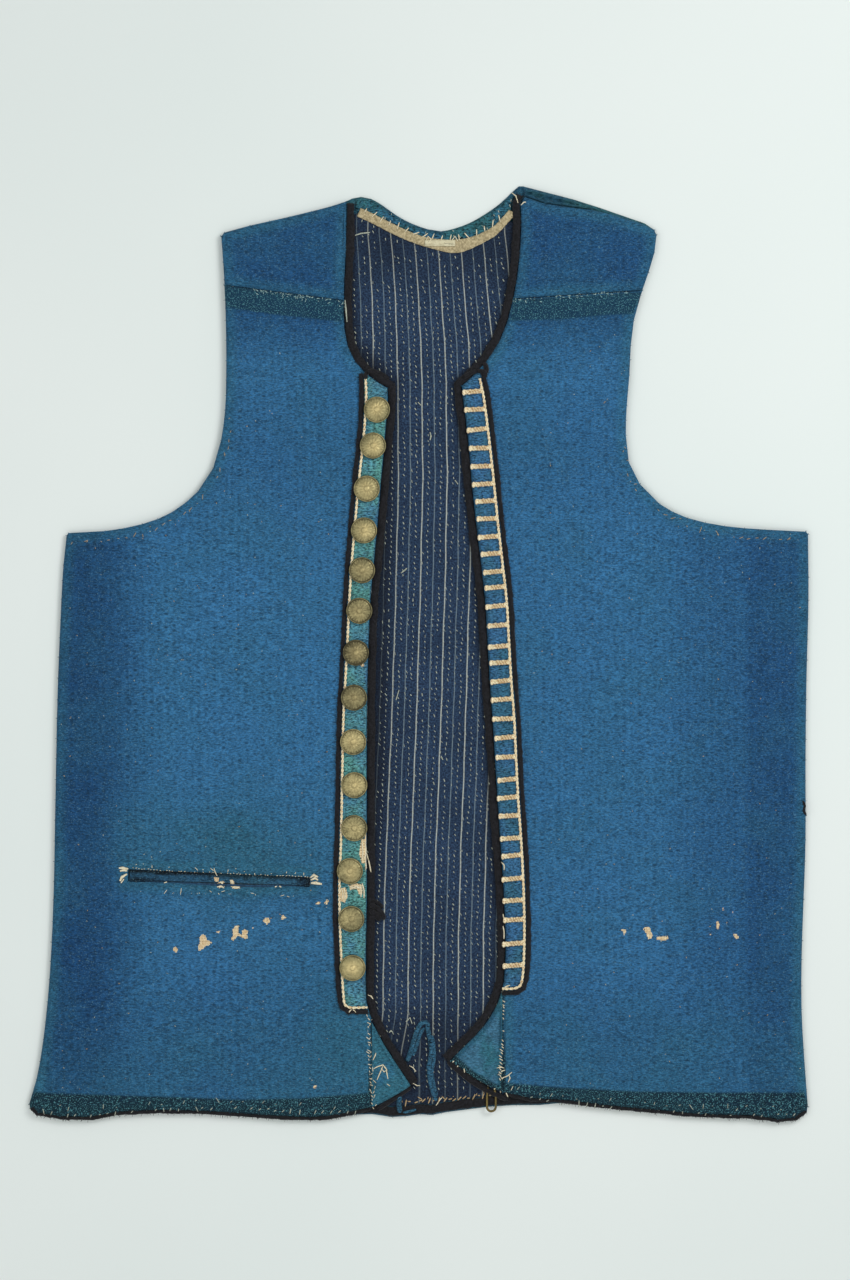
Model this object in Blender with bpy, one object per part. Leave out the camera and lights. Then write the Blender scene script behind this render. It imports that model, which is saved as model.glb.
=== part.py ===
"""Quilted wool folk vest, laid flat on its back with both fronts open.

Frame: +X runs to the right across the vest as it lies, +Y from the hem to the
shoulders, +Z up from the surface that the back rests on. The wearer's right front
lies on the -X side and carries the pocket and the buttons, the wearer's left front
lies on the +X side and carries the buttonhole bars.

Every piece of cloth is a closed wall. Its plan is an outline joined from a few
curved stretches, its underside follows a floor height, and its edge is a short
profile of rings. All sizes below are in millimetres.
"""

import math
from collections import namedtuple

import bmesh
import bpy
import numpy as np
from mathutils import Matrix, Vector
from mathutils.geometry import delaunay_2d_cdt

MM = 0.001

# Wall thicknesses of the cloths and the gap left at every seam
SEAM_GAP = 0.3
BACK_WALL = 2.0
LINING_WALL = 1.0
FRONT_WALL = 2.2
STRIP_WALL = 1.0
TAPE_WALL = 1.0
BINDING_HEIGHT = 2.5
BRAID_HEIGHT = 1.8
CORD_HEIGHT = 1.2
WELT_HEIGHT = 1.5
TACK_HEIGHT = 0.9

# Heights of the layers above the surface
LINING_LEVEL = BACK_WALL + SEAM_GAP
FRONT_LEVEL = LINING_LEVEL + LINING_WALL + SEAM_GAP
FRONT_TOP = FRONT_LEVEL + FRONT_WALL
STRIP_LEVEL = FRONT_TOP + SEAM_GAP
CORD_LEVEL = STRIP_LEVEL + STRIP_WALL + SEAM_GAP

# Where a front is sewn to the back it rolls down onto it over this width
ROLL_WIDTH = 7.0
LINING_SETBACK = 11.0
ARMHOLE_SETBACK = 3.0
LAP_RISE = 0.5
LAP_WIDTH = 9.0

# The back's edge stands up as a roll above the left shoulder's seam
ROLL_END = 118.0
ROLL_TAPER = 5.0
ROLL_HEIGHT = 3.7
ROLL_SETBACK = 0.6

# Quilting: ridges between the stitched rows
QUILT_PITCH = 5.2
QUILT_HEIGHT = 0.35
QUILT_ROW = 76.0
LINING_RIDGE = 0.2
QUILT_MARGIN = 6.0

# Widths of the trimmings
BINDING_WIDTH = 5.0
BRAID_WIDTH = 3.0
CORD_WIDTH = 2.2
BAR_WIDTH = 3.2
BAR_SLANT = 0.6
HEM_LIP = 2.2
HEM_LIP_HEIGHT = 1.6
HEM_SETBACK = 0.8
BACK_HEM_BINDING = 6.0
TAPE_WIDTH = 6.2
VENT_EDGE_WIDTH = 3.3
LABEL_SIZE = (20.0, 5.4)
LABEL_PLACE = (14.0, 266.6)

# Domed metal buttons
BUTTON_SIDES = 16
BUTTON_LEAN = 0.03
BUTTON_PROFILE = (
    (0.0, 0.0), (2.4, 0.0), (2.4, 1.5), (8.8, 1.7), (8.3, 2.7), (4.6, 3.6), (0.0, 3.9),
)
BUTTON_PLACES = (
    (-27.0, 158.6), (-29.6, 135.4), (-33.5, 107.4), (-35.4, 80.2), (-36.7, 54.3),
    (-38.4, 28.1), (-40.6, 0.8), (-41.9, -28.3), (-42.4, -57.0), (-41.6, -85.0),
    (-41.7, -113.1), (-44.6, -141.0), (-43.6, -172.0), (-42.8, -203.8),
)

# Worked bars across the left front's placket, as distances up from the origin
BAR_PLACES = (
    171.0, 159.2, 146.6, 133.9, 122.2, 110.8, 99.8, 88.1, 76.7, 65.7, 54.0, 43.9, 31.9,
    19.2, 5.5, -5.2, -16.9, -28.9, -41.9, -53.6, -66.6, -80.9, -92.6, -104.7, -119.3,
    -130.3, -145.3, -159.6, -172.2, -187.5, -201.8,
)

# Wire hook at the hem: a loop whose two legs lean a little towards each other
WIRE_RADIUS = 0.6
HOOK_TOP = -282.0
HOOK_BEND = -294.6
HOOK_LEGS = (44.4, 50.4)
HOOK_LEANS = (0.5, -0.9)
HOOK_STEPS = 8

# Edges of the garment, knots of smooth curves as (x, y)
SHOULDER_RIGHT = ((-46.9, 294.6), (-57.5, 291.2), (-83.5, 284.7), (-109.5, 278.9), (-126.4, 274.3))
ARMHOLE_RIGHT = (
    (-128.4, 271.7), (-127.1, 254.8), (-125.8, 230.1), (-125.1, 204.1), (-125.1, 178.1),
    (-125.8, 158.6), (-128.4, 139.1), (-133.6, 120.9), (-143.3, 106.0), (-160.2, 92.3),
    (-179.7, 84.5), (-203.8, 80.0), (-227.8, 78.7),
)
SIDE_RIGHT = (
    (-229.0, 77.0), (-231.1, 57.9), (-233.0, 22.1), (-235.0, -29.9), (-236.3, -94.9),
    (-237.6, -159.9), (-240.2, -211.9), (-244.1, -250.9), (-248.6, -276.9), (-253.4, -293.0),
)
HEM_RIGHT = (
    (-253.0, -296.4), (-248.0, -300.3), (-233.0, -302.9), (-212.2, -303.2), (-195.3, -300.0),
    (-168.0, -299.0), (-135.5, -299.7), (-109.5, -301.6), (-70.5, -303.6), (-51.0, -301.6),
    (-30.9, -297.1),
)
SHOULDER_LEFT = (
    (68.9, 297.7), (82.2, 293.2), (100.4, 290.6), (112.8, 289.2), (125.8, 286.2),
    (144.0, 280.6), (153.7, 276.0),
)
ARMHOLE_LEFT = (
    (155.0, 272.4), (153.7, 261.3), (149.8, 248.3), (144.6, 233.3), (140.1, 217.1),
    (138.1, 200.8), (137.2, 181.3), (135.5, 161.8), (134.9, 142.3), (136.8, 124.8),
    (144.0, 110.5), (157.0, 97.5), (175.2, 88.4), (199.2, 83.2), (225.2, 80.9), (252.0, 79.6),
)
SIDE_LEFT = (
    (253.5, 78.0), (253.8, 35.1), (252.5, -16.9), (251.9, -68.9), (251.9, -120.9),
    (250.6, -159.9), (249.3, -198.9), (249.3, -231.4), (250.6, -257.4), (252.5, -283.4),
    (253.4, -294.6),
)
HEM_LEFT = (
    (253.0, -298.4), (245.4, -303.6), (233.7, -304.9), (218.7, -302.6), (183.0, -301.6),
    (163.5, -299.7), (144.0, -298.0), (118.0, -295.4), (92.0, -292.2), (72.5, -291.2),
    (55.3, -287.2),
)
NECK_BACK = (
    (-47.1, 294.8), (-43.2, 296.6), (-37.4, 297.7), (-30.9, 296.4), (-23.1, 291.9),
    (-14.0, 285.4), (-4.2, 280.2), (6.2, 276.6), (14.6, 275.3), (23.7, 277.2),
    (33.5, 280.8), (43.2, 286.3), (53.0, 293.2), (60.8, 300.6), (65.4, 304.6),
)
SHOULDER_BACK_LEFT = (
    (68.0, 304.6), (82.2, 300.9), (101.7, 295.8), (118.0, 290.6), (134.2, 285.0),
    (147.2, 280.5), (153.7, 276.2),
)
HEM_BACK = (
    (-70.5, -303.6), (-51.0, -300.9), (-30.2, -299.7), (-17.2, -301.6), (-6.8, -300.9),
    (1.0, -299.7), (8.8, -300.3), (17.9, -298.4), (33.5, -296.4), (46.5, -294.8),
    (62.7, -293.8), (79.0, -293.8), (92.0, -292.5), (118.0, -295.1), (144.0, -298.0),
)

# Finished inner edges of the fronts, from the shoulder down to the gusset's tip
EDGE_RIGHT_NECK = (
    (-41.6, 293.2), (-41.6, 278.9), (-41.9, 262.6), (-42.9, 243.1), (-43.2, 223.6),
    (-42.9, 211.9), (-41.0, 202.2), (-37.1, 193.7), (-31.5, 187.2), (-23.7, 181.3),
    (-14.8, 176.0),
)
EDGE_RIGHT_FRONT = (
    (-14.6, 165.1), (-16.6, 139.1), (-18.9, 113.1), (-21.1, 87.1), (-23.4, 61.1),
    (-26.0, 35.1), (-27.0, 9.1), (-27.9, -16.9), (-28.3, -55.9), (-28.3, -107.9),
    (-28.3, -159.9), (-28.9, -198.9), (-28.6, -224.9), (-26.6, -232.7), (-23.4, -240.5),
    (-17.9, -250.9), (-9.4, -263.9), (-4.2, -271.7), (-0.3, -277.6),
)
EDGE_LEFT_NECK = (
    (63.4, 299.7), (60.9, 293.2), (61.4, 278.9), (60.5, 262.6), (58.8, 246.3),
    (56.2, 231.4), (53.0, 218.4), (47.8, 205.4), (40.6, 194.3), (32.2, 185.2), (22.6, 176.4),
)
EDGE_LEFT_FRONT = (
    (23.7, 165.1), (27.0, 139.1), (29.2, 113.1), (31.9, 87.1), (35.1, 61.1), (38.0, 35.1),
    (39.6, 9.1), (41.0, -16.9), (42.9, -42.9), (44.5, -68.9), (46.1, -94.9), (47.8, -120.9),
    (49.7, -146.9), (51.0, -172.9), (51.4, -195.7), (50.4, -211.9), (46.5, -224.9),
    (42.6, -232.1), (38.7, -237.9), (32.8, -244.7), (25.0, -252.2), (15.9, -261.3),
)
GUSSET_RIGHT_LOW = ((-8.8, -283.4), (-18.5, -289.2), (-27.6, -294.0), (-30.9, -294.9))
GUSSET_LEFT_LOW = ((27.6, -269.8), (36.7, -276.2), (47.1, -281.8), (54.0, -285.0))

# Seams between a front and its shoulder piece, and between a front and its gusset
SHOULDER_SEAM_RIGHT = ((-125.3, 239.8), (-48.4, 229.8))
SHOULDER_SEAM_LEFT = ((146.9, 236.3), (61.8, 230.8))
GUSSET_SEAM_RIGHT = -30.9
GUSSET_SEAM_LEFT = 54.9
GUSSET_TOP_RIGHT = -238.5
GUSSET_TOP_LEFT = -217.0

# Centre lines of the braids that frame the plackets, top to bottom
BRAID_RIGHT = (
    (-37.5, 182.6), (-36.9, 165.1), (-38.7, 139.1), (-41.6, 113.1), (-43.9, 87.1),
    (-46.1, 61.1), (-47.8, 35.1), (-49.0, 9.1), (-50.4, -16.9), (-51.7, -42.9),
    (-52.5, -81.9), (-53.2, -120.9), (-54.2, -150.2), (-53.9, -176.2), (-52.8, -202.2),
    (-51.6, -222.6), (-50.2, -229.4), (-45.4, -232.3), (-39.6, -232.6), (-32.7, -232.4),
)
BRAID_LEFT = (
    (41.7, 183.2), (43.4, 176.0), (45.5, 165.1), (48.8, 139.1), (51.7, 113.1), (54.3, 87.1),
    (57.2, 61.1), (60.1, 35.1), (61.6, 9.1), (63.1, -16.9), (65.1, -42.9), (66.3, -68.9),
    (67.7, -94.9), (69.5, -120.9), (70.9, -146.9), (71.6, -172.9), (71.4, -195.7),
    (70.4, -210.4), (68.3, -217.2), (63.6, -219.9), (60.0, -220.3), (54.2, -220.4),
)
PLACKET_RIGHT = (181.0, -228.5)
PLACKET_LEFT = (182.0, -216.5)

NECK_TAPE = (
    (-39.0, 287.5), (-31.5, 284.1), (-23.7, 280.2), (-12.0, 274.3), (1.0, 269.1),
    (14.0, 266.8), (27.0, 266.8), (40.0, 270.1), (51.7, 276.6), (58.4, 281.7),
)
VENT_RIGHT = (
    (3.0, -239.2), (-2.3, -250.9), (-8.1, -263.9), (-12.0, -276.9), (-12.3, -284.7), (-11.4, -293.5),
)
VENT_LEFT = (
    (7.4, -239.8), (5.2, -250.9), (4.7, -263.9), (6.8, -276.9), (8.8, -286.0), (10.7, -293.5),
)

# Pocket slit of the right front: centre line, half widths at its two ends and bar tacks
POCKET_ENDS = ((-188.8, -144.0), (-70.5, -148.4))
POCKET_HALF_WIDTHS = (4.0, 3.2)
POCKET_POINTS = 5
TACK_PLACES = ((-192.4, -144.6), (-66.6, -147.9))
TACK_SIZES = ((3.4, 10.6), (4.6, 6.6))

# Soft swells of the fronts: where the loose layers stand off each other
Swell = namedtuple("Swell", "x y radius height")
SWELLS = (
    Swell(-150.0, 20.0, 88.0, 2.2),
    Swell(-196.0, -262.0, 66.0, 1.9),
    Swell(-110.0, -240.0, 62.0, 1.1),
    Swell(165.0, 5.0, 86.0, 2.2),
    Swell(150.0, -215.0, 74.0, 1.5),
    Swell(222.0, -262.0, 50.0, 1.3),
    Swell(-88.0, 170.0, 34.0, 0.9),
    Swell(100.0, 176.0, 32.0, 0.8),
    Swell(-9.4, -274.3, 29.3, 1.9),
    Swell(46.5, -281.0, 19.0, 2.1),
)

# Edge profiles as (distance in from the outline, share of the wall's height)
CLOTH_EDGE = ((0.7, 0.0), (0.0, 0.45), (1.6, 1.0))
TRIM_EDGE = ((0.3, 0.0), (0.0, 0.4), (0.8, 1.0))
BINDING_EDGE = ((0.5, 0.0), (0.0, 0.45), (1.6, 1.0))
ROLL_EDGE = ((0.4, 0.0), (0.4, 0.7), (1.4, 1.0))
FINE_STEP = 6.0
EDGE_STEP = 13.0
GRID_STEP = 48.0
CLEARANCE = 1.5
SHORTEST_MITRE = 0.45

RIGHT_TABLES = {
    "neck": EDGE_RIGHT_NECK, "front": EDGE_RIGHT_FRONT, "shoulder": SHOULDER_RIGHT,
    "armhole": ARMHOLE_RIGHT, "side": SIDE_RIGHT, "hem": HEM_RIGHT, "braid": BRAID_RIGHT,
    "seam": SHOULDER_SEAM_RIGHT, "gusset_seam": GUSSET_SEAM_RIGHT,
    "gusset_top": GUSSET_TOP_RIGHT, "gusset_low": GUSSET_RIGHT_LOW, "placket": PLACKET_RIGHT,
}
LEFT_TABLES = {
    "neck": EDGE_LEFT_NECK, "front": EDGE_LEFT_FRONT, "shoulder": SHOULDER_LEFT,
    "armhole": ARMHOLE_LEFT, "side": SIDE_LEFT, "hem": HEM_LEFT, "braid": BRAID_LEFT,
    "seam": SHOULDER_SEAM_LEFT, "gusset_seam": GUSSET_SEAM_LEFT,
    "gusset_top": GUSSET_TOP_LEFT, "gusset_low": GUSSET_LEFT_LOW, "placket": PLACKET_LEFT,
}

Finish = namedtuple("Finish", "colour roughness metallic")
BLUE_CLOTH = Finish("#2F6493", 0.90, 0.0)
TEAL_CLOTH = Finish("#2D6579", 0.92, 0.0)
NAVY_LINING = Finish("#1D2A52", 0.88, 0.0)
BLACK_BINDING = Finish("#17161B", 0.93, 0.0)
CREAM_TAPE = Finish("#BCA884", 0.92, 0.0)
CREAM_CORD = Finish("#D9C39A", 0.88, 0.0)
DARK_WELT = Finish("#1D3558", 0.92, 0.0)
WORN_PEWTER = Finish("#8E8662", 0.48, 0.75)
BRASS_WIRE = Finish("#6E6038", 0.40, 0.90)


def linear(channel):
    """Return the linear value of one sRGB channel."""
    if channel <= 0.04045:
        return channel / 12.92
    return ((channel + 0.055) / 1.055) ** 2.4


def make_material(name, finish):
    """Make a Principled material from a finish."""
    material = bpy.data.materials.new(name)
    material.use_nodes = True
    shader = material.node_tree.nodes["Principled BSDF"]
    code = finish.colour.lstrip("#")
    channels = [linear(int(code[i:i + 2], 16) / 255.0) for i in (0, 2, 4)]
    shader.inputs["Base Color"].default_value = (*channels, 1.0)
    shader.inputs["Roughness"].default_value = finish.roughness
    shader.inputs["Metallic"].default_value = finish.metallic
    material.diffuse_color = (*channels, 1.0)
    return material


def curve(knots, step=EDGE_STEP):
    """Return points of a Catmull-Rom curve through the knots, about one step apart."""
    knots = np.array(knots, dtype=float)
    ends = np.vstack([2 * knots[0] - knots[1], knots, 2 * knots[-1] - knots[-2]])
    points = [knots[0]]
    for i in range(len(knots) - 1):
        before, start, stop, after = ends[i:i + 4]
        count = max(1, round(np.linalg.norm(stop - start) / step))
        for k in range(1, count + 1):
            t = k / count
            points.append(0.5 * (
                2 * start + (stop - before) * t
                + (2 * before - 5 * start + 4 * stop - after) * t ** 2
                + (3 * start - before - 3 * stop + after) * t ** 3
            ))
    return np.array(points)


def joined(*stretches):
    """Join stretches end to end and drop points that nearly meet."""
    points = np.vstack([np.atleast_2d(stretch) for stretch in stretches])
    kept = [points[0]]
    for point in points[1:]:
        if np.linalg.norm(point - kept[-1]) > CLEARANCE:
            kept.append(point)
    while np.linalg.norm(kept[-1] - kept[0]) < CLEARANCE:
        kept.pop()
    return np.array(kept)


def signed_area(loop):
    """Return the area of a closed loop, positive when it runs anticlockwise."""
    nxt = np.roll(loop, -1, axis=0)
    return 0.5 * float(np.sum(loop[:, 0] * nxt[:, 1] - nxt[:, 0] * loop[:, 1]))


def anticlockwise(loop):
    """Return the loop running anticlockwise."""
    return loop if signed_area(loop) > 0 else loop[::-1]


def unit_normals(steps):
    """Return the left-hand unit normals of a row of edge vectors."""
    lengths = np.linalg.norm(steps, axis=1, keepdims=True)
    return np.column_stack([-steps[:, 1], steps[:, 0]]) / lengths


def mitres(before, after):
    """Return the mitre vectors between pairs of unit normals, kept short at sharp corners."""
    share = np.maximum(1.0 + np.sum(before * after, axis=1), SHORTEST_MITRE)
    return (before + after) / share[:, None]


def inset(loop, distance):
    """Move a closed loop to its left by a distance, point by point."""
    normals = unit_normals(np.roll(loop, -1, axis=0) - loop)
    return loop + distance * mitres(np.roll(normals, 1, axis=0), normals)


def beside(path, distance):
    """Return an open path moved to its left by a distance, without folds at its corners."""
    normals = unit_normals(np.diff(path, axis=0))
    before = np.vstack([normals[:1], normals])
    after = np.vstack([normals, normals[-1:]])
    moved = path + distance * mitres(before, after)
    return moved[away(moved, path) > 0.96 * abs(distance)]


def away(points, path):
    """Return the distance of each point to an open path."""
    start = path[:-1][None]
    step = np.diff(path, axis=0)[None]
    offset = points[:, None] - start
    share = np.sum(offset * step, axis=2) / np.sum(step * step, axis=2)
    share = np.clip(share, 0.0, 1.0)[..., None]
    return np.min(np.linalg.norm(offset - share * step, axis=2), axis=1)


def closed(loop):
    """Return the loop as a path that ends where it starts."""
    return np.vstack([loop, loop[:1]])


def within(points, loop):
    """Tell for each point whether it lies inside a loop."""
    start = loop[None]
    stop = np.roll(loop, -1, axis=0)[None]
    x, y = points[:, 0, None], points[:, 1, None]
    rising = (start[..., 1] > y) != (stop[..., 1] > y)
    span = np.where(rising, stop[..., 1] - start[..., 1], 1.0)
    cross = start[..., 0] + (y - start[..., 1]) / span * (stop[..., 0] - start[..., 0])
    return np.sum(rising & (x < cross), axis=1) % 2 == 1


def part_of(path, high, low):
    """Return the part of a path between two heights, cut cleanly at both."""
    ys = path[:, 1]
    order = np.argsort(ys)
    ends = [[np.interp(y, ys[order], path[order, 0]), y] for y in (high, low)]
    inner = path[(ys < high - 1.0) & (ys > low + 1.0)]
    if ys[0] > ys[-1]:
        return np.vstack([ends[:1], inner, ends[1:]])
    return np.vstack([ends[1:], inner, ends[:1]])


def strip(path, width):
    """Return the outline of a band of one width along an open path."""
    left = beside(path, width / 2)
    right = beside(path, -width / 2)
    return np.vstack([left, right[::-1]])


def rectangle(size, place):
    """Return the outline of an upright rectangle round a place."""
    corners = np.array([(-0.5, -0.5), (0.5, -0.5), (0.5, 0.5), (-0.5, 0.5)])
    return corners * size + place


def level(height):
    """Return a floor of one height."""
    return lambda points: np.full(len(points), float(height))


def smooth(share):
    """Ease a share from 0 to 1."""
    share = np.clip(share, 0.0, 1.0)
    return share * share * (3.0 - 2.0 * share)


def swelling(points):
    """Return how far the loose fronts stand off the lining."""
    total = np.zeros(len(points))
    for swell in SWELLS:
        near = np.hypot(points[:, 0] - swell.x, points[:, 1] - swell.y) / swell.radius
        total += swell.height * np.cos(np.minimum(near, 1.0) * math.pi / 2) ** 2
    return total


def front_floor(*sewn):
    """Return the floor of a front that rolls down onto the back beside sewn edges."""
    def floor(points):
        near = np.min([away(points, path) for path in sewn], axis=0)
        rise = smooth(near / ROLL_WIDTH)
        return LINING_LEVEL + (FRONT_LEVEL - LINING_LEVEL) * rise + swelling(points)
    return floor


def quilting(height, plain):
    """Return the relief of quilted ridges that run up the cloth and fade near plain places."""
    def relief(points):
        ridge = 0.5 + 0.5 * np.cos(2 * math.pi * points[:, 0] / QUILT_PITCH)
        return height * ridge * plain(points)
    return relief


def crossings(loops, x):
    """Return the heights at which an upright line crosses loops, lowest first."""
    cuts = []
    for loop in loops:
        nxt = np.roll(loop, -1, axis=0)
        hit = (loop[:, 0] > x) != (nxt[:, 0] > x)
        share = (x - loop[hit, 0]) / (nxt[hit, 0] - loop[hit, 0])
        cuts.extend(loop[hit, 1] + share * (nxt[hit, 1] - loop[hit, 1]))
    return sorted(cuts)


def ridge_points(loops):
    """Return points up every crest and trough of the quilting between the loops."""
    half = QUILT_PITCH / 2
    margin = QUILT_MARGIN + CLEARANCE
    first = math.ceil(loops[0][:, 0].min() / half)
    last = math.floor(loops[0][:, 0].max() / half)
    points = []
    for x in half * np.arange(first, last + 1):
        cuts = crossings(loops, x)
        for low, high in zip(cuts[::2], cuts[1::2]):
            room = high - low - 2 * margin
            if room > 0.0:
                count = math.ceil(room / QUILT_ROW)
                points += [(x, low + margin + room * k / count) for k in range(count + 1)]
    return np.array(points)


def grid_points(loop, step):
    """Return the points of a coarse grid over a loop."""
    low, high = loop.min(axis=0), loop.max(axis=0)
    xs = np.arange(low[0] + step / 2, high[0], step)
    ys = np.arange(low[1] + step / 2, high[1], step)
    return np.array([(x, y) for x in xs for y in ys]).reshape(-1, 2)


def fill_face(bm, rings, points, height, stretch, upward):
    """Close a wall's face between rings of vertices, through inner points."""
    loops = [np.array([vert.co.xy for vert in ring]) / MM for ring in rings]
    keep = within(points, loops[0])
    for loop in loops:
        keep &= away(points, closed(loop)) > CLEARANCE
    for hole in loops[1:]:
        keep &= ~within(points, hole)
    inner = points[keep]
    heights = height(inner)
    verts = [vert for ring in rings for vert in ring]
    verts += [bm.verts.new((x * MM, y * MM, z * MM)) for (x, y), z in zip(inner, heights)]
    edges = []
    first = 0
    for ring in rings:
        count = len(ring)
        edges += [(first + i, first + (i + 1) % count) for i in range(count)]
        first += count
    plan = [Vector((x, y * stretch)) for x, y in np.vstack([*loops, inner])]
    _, _, faces, origins, _, _ = delaunay_2d_cdt(plan, edges, [], 1, 1e-7)
    corners = [origin[0] for origin in origins]
    flat = np.vstack([*loops, inner])
    for face in faces:
        trio = [corners[k] for k in face]
        middle = flat[trio].mean(axis=0)[None]
        solid = within(middle, loops[0])[0]
        if not solid or any(within(middle, hole)[0] for hole in loops[1:]):
            continue
        if (signed_area(flat[trio]) > 0) != upward:
            trio.reverse()
        bm.faces.new([verts[k] for k in trio])


def make_object(name, finish, bm):
    """Turn a bmesh into a named object with a material of its own."""
    mesh = bpy.data.meshes.new(name)
    bm.to_mesh(mesh)
    bm.free()
    item = bpy.data.objects.new(name, mesh)
    item.data.materials.append(make_material(f"{name}_finish", finish))
    bpy.context.scene.collection.objects.link(item)
    return item


def make_wall(name, finish, outline, floor, thickness, edge=CLOTH_EDGE, holes=(),
              relief=None, zone=None, guards=(), lap=None):
    """Build one closed wall of cloth.

    The outline and the holes are loops in plan. The floor gives the height of the
    underside. The relief raises the outer face alone, inside the zone if one is given.
    Guards are extra points of both faces, and the lap thickens the wall along a seam.
    """
    def thick(points):
        if lap is None:
            return np.full(len(points), thickness)
        return thickness + LAP_RISE * (1.0 - smooth(away(points, lap) / LAP_WIDTH))

    def top(points):
        raise_by = relief(points) if relief else 0.0
        return floor(points) + thick(points) + raise_by

    bm = bmesh.new()
    bottoms, tops = [], []
    loops = [anticlockwise(outline)] + [anticlockwise(hole)[::-1] for hole in holes]
    for loop in loops:
        rows = []
        for back, share in edge:
            ring = inset(loop, back)
            heights = floor(ring) + share * thick(ring)
            rows.append([
                bm.verts.new((x * MM, y * MM, z * MM)) for (x, y), z in zip(ring, heights)
            ])
        for low, high in zip(rows, rows[1:]):
            for i in range(len(loop)):
                j = (i + 1) % len(loop)
                bm.faces.new((low[i], low[j], high[j], high[i]))
        bottoms.append(rows[0])
        tops.append(rows[-1])
    extra = [np.atleast_2d(guard) for guard in guards]
    plain = np.vstack([grid_points(loops[0], GRID_STEP), *extra])
    fill_face(bm, bottoms, plain, floor, 1.0, upward=False)
    if relief:
        ridges = np.vstack([ridge_points(loops if zone is None else [zone]), *extra])
        fill_face(bm, tops, ridges, top, QUILT_PITCH / 2 / QUILT_ROW, upward=True)
    else:
        fill_face(bm, tops, plain, top, 1.0, upward=True)
    return make_object(name, finish, bm)


def make_button(name, place, turn):
    """Turn one domed button with its shank, leaning a little on its thread."""
    bm = bmesh.new()
    profile = [bm.verts.new((r * MM, 0.0, z * MM)) for r, z in BUTTON_PROFILE]
    edges = [bm.edges.new(pair) for pair in zip(profile, profile[1:])]
    bmesh.ops.spin(
        bm, geom=[*profile, *edges], cent=(0, 0, 0), axis=(0, 0, 1),
        angle=2 * math.pi, steps=BUTTON_SIDES, use_merge=True,
    )
    bmesh.ops.remove_doubles(bm, verts=bm.verts, dist=0.01 * MM)
    bmesh.ops.recalc_face_normals(bm, faces=bm.faces)
    lean = Matrix.Rotation(BUTTON_LEAN * math.sin(turn), 3, "X")
    lean = lean @ Matrix.Rotation(BUTTON_LEAN * math.cos(1.7 * turn), 3, "Y")
    bmesh.ops.rotate(bm, verts=bm.verts, cent=(0, 0, 0), matrix=lean)
    foot = BUTTON_PROFILE[1][0] * math.sin(BUTTON_LEAN)
    shift = Vector((place[0] * MM, place[1] * MM, (CORD_LEVEL + foot) * MM))
    bmesh.ops.translate(bm, verts=bm.verts, vec=shift)
    return make_object(name, WORN_PEWTER, bm)


def make_hook(name):
    """Bend the wire loop that hangs below the hem, and cap its ends."""
    first, second = HOOK_LEGS
    middle, radius = (first + second) / 2, (second - first) / 2
    waist = (HOOK_TOP + HOOK_BEND) / 2
    route = [(first + HOOK_LEANS[0], HOOK_TOP), (first, waist)]
    for k in range(HOOK_STEPS + 1):
        angle = math.pi * (1.0 + k / HOOK_STEPS)
        route.append((middle + radius * math.cos(angle), HOOK_BEND + radius * math.sin(angle)))
    route += [(second, waist), (second + HOOK_LEANS[1], HOOK_TOP)]
    data = bpy.data.curves.new(name, "CURVE")
    data.dimensions = "3D"
    data.bevel_depth = WIRE_RADIUS * MM
    data.bevel_resolution = 1
    data.use_fill_caps = True
    spline = data.splines.new("POLY")
    spline.points.add(len(route) - 1)
    height = (FRONT_LEVEL + WIRE_RADIUS) * MM
    for point, (x, y) in zip(spline.points, route):
        point.co = (x * MM, y * MM, height, 1.0)
    item = bpy.data.objects.new(name, data)
    data.materials.append(make_material(f"{name}_finish", BRASS_WIRE))
    bpy.context.scene.collection.objects.link(item)
    return item


class Side:
    """One front of the vest, with the edges and heights that its pieces share.

    The inner edge runs from the shoulder down to the gusset's tip. The cloth lies on
    its left when turn is +1 and on its right when turn is -1; on every outer edge it
    lies the other way.
    """

    def __init__(self, name, turn, tables):
        self.name = name
        self.turn = turn
        self.edge = joined(curve(tables["neck"]), curve(tables["front"]))
        self.shoulder = curve(tables["shoulder"])
        self.armhole = curve(tables["armhole"])
        self.side = curve(tables["side"])
        self.hem = curve(tables["hem"])
        self.braid = curve(tables["braid"])
        self.seam = np.array(tables["seam"])
        self.gusset_seam = tables["gusset_seam"]
        self.gusset_top = tables["gusset_top"]
        self.gusset_low = np.array(tables["gusset_low"])
        self.placket = tables["placket"]
        self.floor = front_floor(self.shoulder, self.side)
        self.cloth = self.from_edge(BINDING_WIDTH + SEAM_GAP)

    def from_edge(self, distance):
        """Return the inner edge moved onto the cloth."""
        return beside(self.edge, self.turn * distance)

    def inward(self, path, distance):
        """Return an outer edge moved onto the cloth, or the braid moved to the opening."""
        return beside(path, -self.turn * distance)

    def roll_line(self, path):
        """Return the line along a sewn edge where the cloth levels out."""
        return self.inward(path, ROLL_WIDTH + 0.5)

    def placket_band(self, from_braid, from_edge):
        """Return the loop between the braid's line and the inner edge."""
        outer = self.inward(self.braid, from_braid)
        inner = self.from_edge(from_edge)
        top, foot = self.placket
        inner = inner[(inner[:, 1] > foot) & (inner[:, 1] < top)]
        inner = inner[away(inner, self.braid) > BRAID_WIDTH]
        return joined(outer, inner[::-1])


def show_quilting(one, *plain_edges):
    """Return how strongly a front's quilting shows, away from its edges and its placket."""
    placket = one.placket_band(-BRAID_WIDTH, BINDING_WIDTH)

    def share(points):
        near = np.min([away(points, closed(edge)) for edge in plain_edges], axis=0)
        aside = smooth(away(points, closed(placket)) / QUILT_MARGIN)
        aside = np.where(within(points, placket), 0.0, aside)
        return smooth((near - CLEARANCE) / QUILT_MARGIN) * aside
    return share


def show_lining(loop):
    """Return how strongly the lining's ridges show between the fronts."""
    def share(points):
        near = smooth(away(points, closed(loop)) / QUILT_MARGIN)
        return np.where(within(points, loop), near, 0.0)
    return share


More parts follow.
